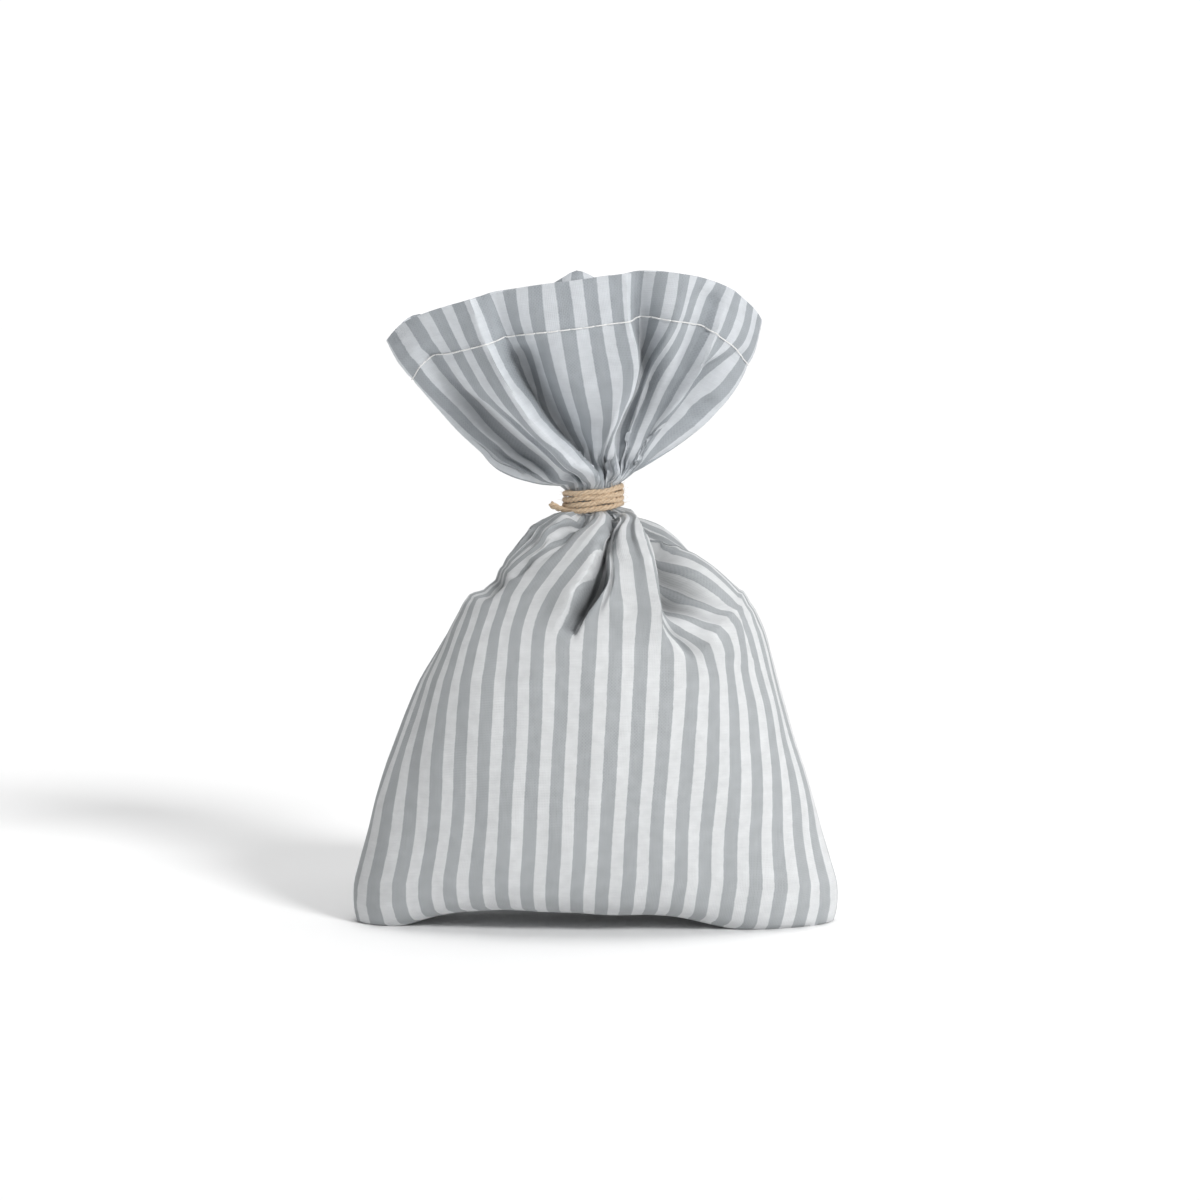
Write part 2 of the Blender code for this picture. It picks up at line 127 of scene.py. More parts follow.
# Where the first 20 grey stripes lie on the front at each height, in percent of its width from the left.
# Where they crowd, they still keep this share of half a round between them.
LEAST_APART = 0.005
Lie = namedtuple("Lie", "at across")
STRIPES_LIE = [
    Lie(8, [0.1, 4.1, 9.5, 14.8, 19.9, 25.3, 30.7, 35.8, 41.0, 46.1,
            51.3, 56.6, 61.9, 67.1, 72.1, 77.3, 82.6, 87.7, 92.9, 97.4]),
    Lie(18, [0.5, 4.4, 9.5, 14.7, 19.8, 25.0, 30.5, 35.9, 41.4, 46.8,
             52.2, 57.7, 63.1, 68.6, 73.7, 79.2, 84.4, 89.5, 94.0, 97.5]),
    Lie(30, [0.3, 3.2, 7.9, 13.6, 18.9, 24.3, 29.7, 35.5, 41.3, 47.1,
             53.2, 59.0, 64.8, 70.6, 76.4, 82.0, 87.5, 92.3, 96.2, 98.9]),
    Lie(42, [0.5, 1.8, 5.4, 10.8, 16.5, 22.3, 28.4, 34.6, 40.7, 47.1,
             53.7, 60.1, 66.6, 72.9, 79.1, 84.4, 89.5, 94.0, 97.1, 99.1]),
    Lie(52, [0.2, 1.3, 4.0, 8.3, 14.0, 20.2, 26.5, 33.2, 40.0, 46.7,
             54.0, 60.7, 68.0, 74.8, 80.9, 86.1, 90.8, 94.7, 97.7, 99.2]),
    Lie(60, [0.1, 0.6, 3.1, 6.7, 11.6, 17.9, 24.4, 31.4, 38.8, 46.2,
             53.9, 61.3, 68.8, 76.0, 81.7, 86.8, 91.0, 94.6, 97.8, 99.5]),
    Lie(66, [0.1, 0.5, 2.5, 5.3, 9.9, 15.8, 22.4, 29.6, 37.3, 45.6,
             53.3, 61.1, 69.1, 74.7, 78.6, 86.4, 91.5, 95.1, 98.2, 99.8]),
    Lie(70, [0.1, 0.3, 1.7, 4.8, 9.2, 14.6, 21.4, 28.8, 37.2, 45.3,
             53.0, 61.2, 67.9, 69.7, 72.9, 82.7, 90.8, 95.2, 98.6, 99.8]),
    Lie(74, [0.1, 0.4, 1.4, 3.6, 8.4, 14.2, 21.2, 29.4, 38.5, 45.8,
             53.4, 61.8, 67.0, 67.5, 68.9, 76.4, 88.3, 95.2, 99.4, 99.9]),
    Lie(77.5, [0.1, 0.2, 0.8, 2.2, 7.4, 13.8, 21.9, 31.6, 39.9, 47.6,
               53.6, 62.3, 67.2, 67.5, 68.0, 72.4, 84.9, 94.5, 99.2, 99.9]),
    Lie(81, [0.05, 0.1, 0.4, 1.2, 3.7, 12.4, 22.9, 33.7, 43.1, 49.1,
             53.3, 62.5, 67.6, 67.8, 68.1, 70.0, 81.2, 93.3, 99.0, 99.9]),
    Lie(84.5, [0.3, 0.8, 1.5, 2.7, 5.0, 11.4, 24.2, 36.4, 46.1, 49.6,
               52.9, 62.7, 67.9, 68.1, 68.3, 69.6, 77.0, 90.9, 98.3, 99.8]),
    Lie(88, [0.1, 0.3, 2.0, 4.7, 9.7, 16.7, 27.5, 41.6, 48.5, 50.5,
             52.8, 63.2, 69.0, 69.3, 69.5, 70.2, 74.7, 87.4, 97.8, 99.8]),
    Lie(91, [0.1, 0.5, 3.1, 7.7, 14.6, 22.8, 31.9, 46.4, 51.9, 53.3,
             55.1, 65.0, 71.4, 71.7, 72.0, 72.6, 75.5, 85.7, 97.8, 99.8]),
    Lie(94, [0.1, 0.4, 3.9, 11.2, 20.5, 29.5, 39.0, 54.0, 61.2, 62.6,
             64.2, 71.8, 78.9, 79.3, 79.7, 80.2, 81.9, 90.3, 99.4, 99.8]),
]

# The mouth's edge. A share of the cloth's width, 0 to 1 on the front and 1 to 2 on the back, lies at each
# place.
Edge = namedtuple("Edge", "cloth x y z")
MOUTH = [
    Edge(0.00, -49.0, 4.0, 137.0),
    Edge(0.10, -44.6, -3.5, 141.4),
    Edge(0.24, -30.0, -10.5, 146.6),
    Edge(0.34, -17.6, -14.0, 149.4),
    Edge(0.45, -3.4, -15.0, 151.4),
    Edge(0.53, 6.6, -13.5, 152.8),
    Edge(0.62, 18.4, -11.5, 152.9),
    Edge(0.72, 29.4, -5.5, 150.2),
    Edge(0.81, 36.6, 1.5, 145.0),
    Edge(0.87, 39.2, 7.0, 141.6),
    Edge(0.98, 36.4, 13.0, 144.0),
    Edge(1.14, 26.0, 15.5, 147.6),
    Edge(1.32, 12.0, 15.0, 149.4),
    Edge(1.46, -0.6, 14.2, 150.8),
    Edge(1.50, -4.4, 13.6, 153.0),
    Edge(1.54, -8.2, 13.6, 151.0),
    Edge(1.70, -24.0, 13.0, 146.0),
    Edge(1.80, -34.0, 12.0, 142.0),
    Edge(1.87, -42.5, 9.6, 142.8),
    Edge(1.94, -47.0, 7.0, 139.6),
]
COLLAR = 6.0
DEEPEN = 0.8
CLIMB = 1.2

# How far the mouth has opened to the left and right at each share of its climb from the tie to its edge
Opening = namedtuple("Opening", "climb left right")
OPENINGS = [
    Opening(0.00, 0.00, 0.00), Opening(0.02, 0.13, 0.04), Opening(0.05, 0.24, 0.10),
    Opening(0.11, 0.37, 0.21), Opening(0.23, 0.49, 0.43), Opening(0.35, 0.60, 0.60),
    Opening(0.50, 0.71, 0.75), Opening(0.65, 0.81, 0.86), Opening(0.82, 0.92, 0.95),
    Opening(1.00, 1.00, 1.00),
]

# Where the first 18 grey stripes lie on the front of the mouth at each share of the way to its edge, in
# percent of its width there from the left. RIGHT_SIDE is the share of the cloth's width that turns the
# mouth's right side.
RIGHT_SIDE = 0.885
MOUTH_LIES = [
    Lie(0.04, [1.6, 18.4, 41.1, 49.3, 66.6, 67.9, 69.1, 70.7, 73.5,
               77.2, 82.0, 85.0, 88.1, 91.0, 93.6, 95.6, 97.0, 98.7]),
    Lie(0.09, [6.2, 25.7, 43.6, 51.3, 64.3, 65.2, 66.2, 68.5, 72.1,
               75.4, 80.5, 83.3, 87.0, 90.6, 93.6, 95.6, 97.0, 98.8]),
    Lie(0.15, [6.3, 22.0, 41.1, 46.9, 57.5, 58.2, 59.1, 63.0, 67.6,
               70.9, 75.7, 77.3, 81.5, 85.8, 91.2, 92.5, 93.6, 97.0]),
    Lie(0.22, [5.0, 16.2, 35.4, 40.9, 49.3, 49.9, 52.4, 57.4, 63.7,
               66.0, 70.1, 71.3, 76.2, 81.1, 87.4, 88.5, 89.6, 94.6]),
    Lie(0.3, [3.1, 12.3, 28.3, 32.9, 40.2, 41.0, 46.0, 52.5, 60.3,
              62.8, 64.9, 66.4, 71.9, 77.4, 84.1, 86.0, 87.1, 94.0]),
    Lie(0.4, [2.4, 10.1, 23.1, 27.3, 34.6, 35.4, 42.8, 50.4, 59.1,
              62.9, 65.4, 67.0, 71.0, 76.2, 83.0, 86.0, 87.3, 94.9]),
    Lie(0.5, [2.2, 8.8, 18.7, 24.0, 31.8, 33.3, 41.1, 48.5, 57.7,
              64.3, 67.7, 68.8, 71.5, 76.1, 82.7, 86.9, 88.3, 96.4]),
    Lie(0.6, [2.0, 8.3, 15.6, 22.1, 29.1, 32.9, 39.9, 47.5, 56.1,
              63.8, 68.3, 69.4, 72.4, 76.6, 83.4, 88.0, 90.0, 97.8]),
    Lie(0.7, [1.8, 8.3, 15.0, 20.7, 28.1, 32.9, 39.2, 47.0, 54.9,
              61.8, 67.8, 70.3, 74.3, 78.2, 84.4, 89.4, 92.8, 98.4]),
    Lie(0.8, [1.9, 8.5, 15.0, 20.2, 27.8, 32.8, 38.9, 46.9, 54.3,
              60.7, 66.3, 71.2, 76.6, 79.7, 85.5, 91.1, 95.4, 98.7]),
    Lie(0.9, [1.9, 8.4, 14.5, 20.0, 27.3, 32.8, 39.1, 47.0, 53.9,
              60.2, 66.1, 71.9, 77.9, 81.1, 86.6, 92.0, 96.3, 98.9]),
    Lie(1.0, [1.2, 7.2, 13.7, 19.6, 26.3, 33.1, 39.8, 46.7, 53.8,
              60.0, 66.5, 72.9, 78.5, 83.3, 88.3, 92.7, 96.3, 99.0]),
]

# The turn round the neck at which each share of the cloth's width goes into and comes out of the tie
Gather = namedtuple("Gather", "cloth below above")
GATHERS = [
    Gather(0.00, 0.02, 0.00),
    Gather(0.08, 0.17, 0.22),
    Gather(0.13, 0.26, 0.36),
    Gather(0.18, 0.33, 0.45),
    Gather(0.24, 0.42, 0.53),
    Gather(0.32, 0.55, 0.56),
    Gather(0.42, 0.71, 0.60),
    Gather(0.50, 0.76, 0.66),
    Gather(0.60, 0.82, 0.74),
    Gather(0.72, 0.87, 0.83),
    Gather(0.86, 0.94, 0.93),
    Gather(1.00, 1.06, 1.04),
    Gather(1.50, 1.54, 1.50),
]
GATHER_REACH = 1.6
GATHERS_FROM, GATHERS_OVER = 90.0, 7.0
FRONT_GATHERS_FROM, FRONT_GATHERS_OVER = 93.5, 4.0

# A fold is a ridge, or with a negative depth a trough. Its path starts at the tie and is given as X and
# height as they are seen from the camera. It falls away over one width to its left and another to its right.
# Low and high are the shares of its depth at the start and the end of its path, lean pushes its crest
# sideways, and crisp is how abruptly its sides fall: RIDGE or TROUGH where none is given.
RIDGE, TROUGH = 1.25, 1.8
Fold = namedtuple("Fold", "face path depth left right low high lean crisp", defaults=[0.0])
FRONT, BACK = 1, -1
BODY_FOLDS = [
    Fold(FRONT, [(7.6, 97.8), (10.3, 90.3), (12.6, 82.6), (13.7, 75.9), (15.0, 69.3), (16.6, 63.9)],
         4.4, 5.0, 0.7, 0.35, 0.0, 0.2),
    Fold(FRONT, [(9.4, 96.4), (13.6, 90.2), (16.4, 82.4), (18.0, 75.6), (19.6, 69.3)],
         -9.0, 2.0, 7.0, 0.25, 0.1, 0.0),
    Fold(FRONT, [(4.8, 98.2), (2.6, 91.0), (1.4, 86.5)],
         -5.0, 1.5, 1.5, 0.3, 0.5, 0.0),
    Fold(FRONT, [(1.2, 88.0), (0.9, 82.5), (-1.0, 78.4), (-3.5, 74.4), (-5.6, 70.2)],
         -9.5, 2.7, 1.9, 0.45, 0.5, 0.0, 8.0),
    Fold(FRONT, [(3.6, 97.6), (1.1, 90.4), (-2.2, 82.6), (-5.6, 77.5), (-7.6, 73.3), (-8.5, 67.5)],
         4.4, 5.5, 0.9, 0.3, 0.0, 0.3),
    Fold(FRONT, [(3.6, 87.1), (4.4, 80.9), (3.0, 75.6), (0.3, 70.7)],
         2.0, 0.8, 4.0, 0.2, 0.0, -0.2),
    Fold(FRONT, [(-0.1, 98.6), (-5.9, 93.6), (-12.1, 87.7)],
         -3.6, 0.9, 2.0, 0.6, 0.1, 0.0),
    Fold(FRONT, [(-3.4, 98.6), (-9.2, 93.6), (-13.2, 89.0)],
         2.2, 3.4, 1.6, 0.4, 0.0, 0.2),
    Fold(FRONT, [(-14.7, 86.2), (-17.5, 83.9), (-21.0, 81.7)],
         -1.9, 1.4, 0.7, 0.3, 0.3, 0.0),
    Fold(FRONT, [(-21.8, 84.1), (-25.0, 80.6), (-29.0, 77.0)],
         -3.2, 1.6, 2.0, 0.2, 0.2, 0.0),
    Fold(FRONT, [(15.5, 71.5), (19.4, 67.4), (23.5, 61.9)],
         -1.8, 0.7, 1.8, 0.3, 0.1, 0.0),
    Fold(FRONT, [(36.0, 74.0), (32.6, 73.8), (29.2, 71.3), (25.4, 66.2), (23.8, 61.4)],
         3.2, 1.4, 6.0, 0.05, 0.1, 0.0),
    Fold(FRONT, [(12.2, 90.3), (21.9, 81.8), (32.1, 73.3)],
         -2.2, 1.8, 1.6, 0.4, 0.7, 0.0),
    Fold(FRONT, [(13.5, 83.0), (21.8, 75.7), (28.7, 69.8)],
         -2.0, 1.8, 1.6, 0.4, 0.7, 0.0),
    Fold(FRONT, [(8.6, 97.1), (15.0, 93.3), (24.3, 85.9)],
         -2.4, 1.6, 1.4, 0.4, 0.1, 0.0),
    Fold(BACK, [(-3.0, 98.0), (-9.0, 92.0), (-17.0, 82.0), (-22.0, 68.0)], -4.4, 3.4, 2.6, 0.2, 0.0, 0.0),
    Fold(BACK, [(-2.0, 98.0), (-6.0, 90.0), (-11.0, 78.0), (-14.0, 60.0)], 3.4, 2.0, 4.6, 0.2, 0.0, -0.3),
    Fold(BACK, [(-0.5, 98.0), (-3.0, 90.0), (-5.0, 80.0), (-7.0, 68.0)], -6.0, 2.4, 2.0, 0.15, 0.0, 0.0),
    Fold(BACK, [(0.5, 98.0), (2.0, 90.0), (3.0, 78.0), (3.6, 62.0)], 3.4, 4.0, 2.6, 0.2, 0.0, 0.2),
    Fold(BACK, [(2.0, 98.0), (6.0, 91.0), (10.0, 80.0), (13.0, 64.0)], -6.0, 2.4, 3.4, 0.15, 0.0, 0.0),
    Fold(BACK, [(3.4, 98.0), (10.0, 91.0), (18.0, 80.0), (23.0, 66.0)], 3.0, 4.0, 1.4, 0.2, 0.0, 0.3),
    Fold(BACK, [(5.0, 97.0), (13.0, 91.0), (23.0, 81.0), (31.0, 72.0)], -2.6, 1.6, 2.4, 0.2, 0.0, 0.0),
]
MOUTH_FOLDS = [
    Fold(FRONT, [(0.4, 105.0), (-2.9, 107.9), (-6.0, 109.7), (-11.6, 115.4), (-16.8, 122.0), (-21.7, 130.0),
                 (-26.0, 138.0), (-29.3, 146.9)],
         5.4, 6.0, 1.1, 0.3, 0.4, 0.15),
    Fold(FRONT, [(1.4, 105.5), (-1.9, 109.0), (-5.9, 112.8), (-9.5, 116.3), (-13.9, 122.9), (-17.0, 127.6),
                 (-19.4, 132.8), (-20.9, 136.3), (-23.8, 147.6)],
         -8.0, 1.7, 6.0, 0.3, 0.15, 0.0),
    Fold(FRONT, [(-6.5, 104.6), (-12.6, 106.9), (-19.2, 110.2), (-26.8, 117.5), (-33.4, 125.3),
                 (-39.0, 134.2)],
         -8.8, 5.0, 4.2, 0.35, 0.3, 0.0),
    Fold(FRONT, [(-7.2, 107.0), (-11.9, 110.7), (-18.0, 116.6), (-24.6, 122.6), (-30.8, 125.6),
                 (-36.6, 135.4)],
         1.5, 0.8, 3.0, 0.3, 0.1, -0.2),
    Fold(FRONT, [(-7.2, 107.6), (-12.0, 112.0), (-18.0, 117.9), (-24.0, 123.4)],
         -2.0, 0.8, 1.2, 0.5, 0.1, 0.0),
    Fold(FRONT, [(-7.1, 103.2), (-17.5, 106.9), (-29.0, 116.2), (-38.1, 126.6), (-45.4, 137.0)],
         1.6, 2.4, 2.6, 0.3, 0.6, 0.0),
    Fold(FRONT, [(4.4, 106.9), (3.6, 109.7), (3.2, 112.1), (3.2, 115.2), (4.3, 118.2), (6.2, 121.7),
                 (7.9, 125.0), (9.2, 130.0), (9.2, 135.1), (8.3, 138.7), (7.2, 143.4), (6.9, 153.2)],
         5.4, 9.0, 1.2, 0.4, 0.4, 0.15),
    Fold(FRONT, [(6.0, 107.0), (5.0, 110.0), (4.8, 113.0), (5.6, 116.0), (7.4, 119.5), (9.4, 123.0),
                 (10.8, 126.5), (11.6, 130.5), (11.6, 134.5), (10.8, 139.0), (10.2, 146.0), (10.4, 153.0)],
         -8.6, 1.4, 4.4, 0.4, 0.35, 0.0),
    Fold(FRONT, [(0.6, 108.5), (1.0, 113.4), (2.6, 118.0), (5.4, 124.2)],
         1.3, 1.6, 0.6, 0.4, 0.0, 0.2),
    Fold(FRONT, [(6.2, 108.6), (7.6, 114.0), (10.0, 119.9), (12.1, 126.9), (14.0, 132.3), (16.8, 138.7),
                 (18.9, 143.4), (20.8, 152.5)],
         2.0, 1.8, 1.2, 0.3, 0.5, 0.1),
    Fold(FRONT, [(8.8, 114.0), (10.9, 118.7), (13.0, 123.4), (14.5, 128.1), (18.0, 134.7)],
         -1.6, 1.0, 1.8, 0.3, 0.1, 0.0),
    Fold(FRONT, [(7.4, 106.5), (9.8, 109.8), (14.0, 116.3), (17.7, 123.4), (20.6, 128.5), (24.3, 137.5),
                 (27.8, 146.9)],
         -4.6, 2.6, 1.5, 0.3, 0.5, 0.0),
    Fold(FRONT, [(8.0, 106.6), (10.0, 108.6), (12.8, 112.3), (17.0, 118.7), (20.8, 124.6), (24.6, 132.3),
                 (28.3, 141.0), (31.8, 149.2)],
         3.4, 2.0, 1.3, 0.3, 0.4, 0.15),
    Fold(FRONT, [(8.8, 106.4), (11.8, 110.9), (16.0, 116.3), (19.8, 121.4), (22.9, 125.6), (26.0, 130.2),
                 (29.9, 132.5), (34.3, 134.1)],
         -5.0, 1.3, 4.2, 0.3, 0.2, 0.0),
    Fold(FRONT, [(21.8, 118.4), (25.5, 121.0), (29.2, 124.2)],
         -2.2, 1.8, 1.8, 0.1, 0.1, 0.0),
    Fold(FRONT, [(0.4, 105.5), (-1.3, 107.9), (-2.9, 110.0), (-3.6, 113.0)],
         1.2, 0.8, 0.8, 0.6, 0.0, 0.0),
    Fold(FRONT, [(2.6, 105.0), (2.7, 108.0), (2.4, 111.0)],
         -4.2, 1.7, 1.7, 0.7, 0.1, 0.0),
    Fold(FRONT, [(-2.8, 104.0), (-5.2, 105.2), (-8.4, 107.0)],
         -4.0, 1.6, 1.6, 0.6, 0.2, 0.0),
    Fold(BACK, [(-3.0, 105.0), (-12.0, 112.0), (-24.0, 126.0), (-33.0, 143.0)],
         -4.2, 4.4, 4.0, 0.1, 0.9, 0.0),
    Fold(BACK, [(-1.6, 105.0), (-6.0, 113.0), (-11.0, 127.0), (-16.0, 148.0)], 3.6, 4.4, 4.0, 0.1, 0.9, 0.0),
    Fold(BACK, [(0.0, 105.0), (-0.5, 113.0), (-1.5, 127.0), (-3.5, 150.0)], -4.6, 3.6, 4.0, 0.1, 0.9, 0.0),
    Fold(BACK, [(1.6, 105.0), (5.0, 113.0), (8.5, 127.0), (10.0, 150.0)], 3.8, 4.4, 4.0, 0.1, 0.9, 0.0),
    Fold(BACK, [(3.4, 105.0), (10.0, 113.0), (18.0, 127.0), (23.0, 149.0)], -4.4, 4.0, 4.0, 0.1, 0.9, 0.0),
]

# A fold starts narrow at the tie. It widens, comes up and dies away over these shares of its path, fades within
# millimetres of the path's ends, and reaches some widths to its sides. Below DEEPEST, the painted shade inside
# it is darkest.
PATH_STEPS = 120
STARTS_NARROW = 0.6
WIDENS_OVER = 0.35
COMES_UP_OVER = 0.4
DIES_AWAY_OVER = 0.35
ENDS_WITHIN = 1.5
FOLD_REACH = 3.2
DEEPEST = 8.0

# The camera's distance, the middle of its view and how it looks down, for what is placed as it is seen
SEEN_FAR = 783.0
SEEN_X, SEEN_Z = 1.06, 76.4
SEEN_LEVEL, SEEN_RISE, SEEN_SLOPE = 0.9945, 0.1045, 0.105

# The many small pleats that the tie presses into the cloth
Pleats = namedtuple("Pleats", "count depth start")
PLEATS = [Pleats(19, 0.42, 0.10), Pleats(31, 0.32, 0.47), Pleats(53, 0.14, 0.83)]

# The slack of cloth that was cut, washed and filled by hand
DENTS = 34
DENT_DEPTH = 0.055
DENT_WIDE = 20.0

# How deep and wide the hem's sewn line and the side seams draw in, and the step between the needle's pulls
SEWN_DEEP, SEWN_WIDE, SEWN_STEP = 0.28, 0.8, 3.1
SEAM_DEEP, SEAM_WIDE = 0.35, 0.7

TURN = np.linspace(0.0, 2.0, SAMPLES, endpoint=False)


def smooth(value):
    """0 below 0, 1 above 1 and an even S between."""
    share = np.clip(value, 0.0, 1.0)
    return share * share * (3.0 - 2.0 * share)


def curve_through(knots, values, places):
    """The values at these places on a smooth curve through one value, or one row of values, at each knot."""
    knots, values = np.array(knots, float), np.array(values, float)
    slopes = np.gradient(values, knots, axis=0)
    start = np.clip(np.searchsorted(knots, places, side="right") - 1, 0, len(knots) - 2)
    step = knots[start + 1] - knots[start]
    part = (places - knots[start]) / step
    if values.ndim > 1:
        step, part = step[..., None], part[..., None]
    rise = part * part * (3.0 - 2.0 * part)
    ease = step * part * (1.0 - part)
    level = values[start] * (1.0 - rise) + values[start + 1] * rise
    return level + ease * (slopes[start] * (1.0 - part) - slopes[start + 1] * part)


def never_back(knots, values, places):
    """A smooth curve through the values that never turns back between two of them."""
    knots, values = np.array(knots, float), np.array(values, float)
    steps = np.diff(knots)
    rises = np.diff(values) / steps
    slopes = np.zeros(len(knots))
    inner = rises[:-1] * rises[1:] > 0
    both = np.where(inner, rises[:-1] + rises[1:], 1.0)
    slopes[1:-1] = np.where(inner, 2.0 * rises[:-1] * rises[1:] / both, 0.0)
    slopes[0], slopes[-1] = rises[0], rises[-1]
    start = np.clip(np.searchsorted(knots, places, side="right") - 1, 0, len(knots) - 2)
    part = (places - knots[start]) / steps[start]
    rise = part * part * (3.0 - 2.0 * part)
    level = values[start] * (1.0 - rise) + values[start + 1] * rise
    ease = steps[start] * part * (1.0 - part)
    return level + ease * (slopes[start] * (1.0 - part) - slopes[start + 1] * part)


def oval(level):
    """One round of the cloth as points at TURN, before its folds: 0 is the left side and 1 the right side."""
    middle = (level.left + level.right) / 2
    half = (level.right - level.left) / 2
    depth = np.sin(math.pi * TURN)
    y = np.where(depth >= 0.0, -level.front * depth, -level.back * depth)
    return np.stack([middle - half * np.cos(math.pi * TURN), y, np.full(SAMPLES, level.height)], axis=1)


def lengths_round(points):
    """The distance along the cloth from the left side to each point, and the whole way round."""
    steps = np.linalg.norm(np.roll(points, -1, axis=0) - points, axis=1)
    return np.concatenate([[0.0], np.cumsum(steps)[:-1]]), steps.sum()


def at_turns(points, turns):
    """The points of a round at these turns."""
    return np.stack([np.interp(turns, TURN, points[:, axis], period=2.0) for axis in range(3)], axis=1)


def turns_evenly(points, shares):
    """The turns at which shares of the cloth's width lie when it is spread evenly along a round."""
    distance, whole = lengths_round(points)
    middle = distance[SAMPLES // 2]
    along = np.where(shares < 1.0, middle * shares, middle + (whole - middle) * (shares - 1.0))
    return np.interp(along, np.append(distance, whole), np.append(TURN, 2.0))


def gathered_turns(shares, side):
    """The turns at which shares of the cloth's width lie where the tie holds it."""
    knots = [g.cloth for g in GATHERS]
    places = [getattr(g, side) for g in GATHERS]
    knots = [knots[-1] - 2.0, *knots, knots[0] + 2.0]
    places = [places[-1] - 2.0, *places, places[0] + 2.0]
    return never_back(knots, places, shares)


def threads_on_mouth(points, across, shares):
    """The turns at which shares of the cloth's width lie on one round of the mouth."""
    keys = (STRIPE_START + STRIPES * np.arange(MOUTH_GREYS)) / FLAT_WIDE
    left, right = TURN[points[:, 0].argmin()], TURN[points[:, 0].argmax()]
    left = left - 2.0 if left > 1.0 else left
    front = np.linspace(left, right, 400)
    x = np.maximum.accumulate(np.interp(front, TURN, points[:, 0], period=2.0))
    turns = np.interp(x[0] + (x[-1] - x[0]) * np.maximum.accumulate(across) / 100, x, front)
    return never_back([0.0, *keys, RIGHT_SIDE, 2.0], [left, *turns, right, left + 2.0], shares)


def threads_on_front(levels, shares):
    """The turns at which shares of the front's width lie on each round of the filled body."""
    keys = (STRIPE_START + STRIPES * np.arange(FRONT_GREYS)) / FLAT_WIDE
    heights = [lie.at for lie in STRIPES_LIE]
    lies = np.array([lie.across for lie in STRIPES_LIE]) / 100
    sizes = np.array(BODY)
    apart = LEAST_APART * np.arange(1, FRONT_GREYS + 1)
    rows = []
    for row in levels:
        level = Level(*row)
        at_height = np.full(FRONT_GREYS, np.clip(level.height, heights[0], heights[-1]))
        across = curve_through(heights, lies, at_height).diagonal()
        forward = level.front * 2.0 * np.sqrt(np.clip(across * (1.0 - across), 0.0, 0.25))
        seen = level.height - SEEN_SLOPE * forward
        across = curve_through(heights, lies, np.clip(seen, heights[0], heights[-1])).diagonal()
        left = np.interp(seen, sizes[:, 0], sizes[:, 1])
        right = np.interp(seen, sizes[:, 0], sizes[:, 2])
        x = (left + across * (right - left)) * (1.0 - forward / SEEN_FAR)
        share = np.clip((x - level.left) / (level.right - level.left), 0.00001, 0.99999)
        turns = np.maximum.accumulate(np.arccos(1.0 - 2.0 * share) / math.pi - apart) + apart
        turns = np.clip(turns, apart, 1.0 - apart[::-1])
        rows.append(never_back([0.0, *keys, 1.0], [0.0, *turns, 1.0], shares))
    return np.array(rows)


def seen_from_front(points):
    """X and height of the points as the camera sees them."""
    x, y, z = points[..., 0] - SEEN_X, points[..., 1], points[..., 2] - SEEN_Z
    nearer = SEEN_FAR / (SEEN_FAR + SEEN_LEVEL * y - SEEN_RISE * z)
    return np.stack([SEEN_X + x * nearer, SEEN_Z + (SEEN_LEVEL * z + SEEN_RISE * y) * nearer], axis=-1)


def tilted(points):
    """The points leaned with the tie, which fades out above and below it."""
    near = np.exp(-(((points[..., 2] - (NECK_LOW + NECK_HIGH) / 2) / TILT_FADES) ** 2))
    lean = np.clip(points[..., 0] - NECK_X, -TILT_REACHES, TILT_REACHES) * NECK_TILT
    leaned = points.copy()
    leaned[..., 2] += lean * near
    return leaned


def on_surface(points):
    """The points with the underside's own height: drawn up in the middle and flat at the two corners."""
    lowest = BODY[0].height
    wanted = curve_through([u.x for u in UNDERSIDE], [u.height for u in UNDERSIDE], points[..., 0])
    fade = np.exp(-np.maximum(points[..., 2] - lowest, 0.0) / UNDERSIDE_FADES)
    low = points.copy()
    low[..., 2] = np.maximum(points[..., 2] - (lowest - wanted) * fade, 0.0)
    return low


def mouth_edge():
    """The mouth's edge as points at TURN."""
    rows = [MOUTH[-1], *MOUTH, MOUTH[0], MOUTH[1]]
    turns = [edge.cloth for edge in rows]
    turns[0] -= 2.0
    turns[-2] += 2.0
    turns[-1] += 2.0
    return np.stack([curve_through(turns, [getattr(e, name) for e in rows], TURN) for name in "xyz"], axis=1)


def outward(grid):
    """The direction out of the cloth at each point, and the direction along its rounds."""
    along = np.roll(grid, -1, axis=1) - np.roll(grid, 1, axis=1)
    up = np.gradient(grid, axis=0)
    out = np.cross(along, up)
    out /= np.maximum(np.linalg.norm(out, axis=2, keepdims=True), 1e-9)
    along /= np.maximum(np.linalg.norm(along, axis=2, keepdims=True), 1e-9)
    return out, along


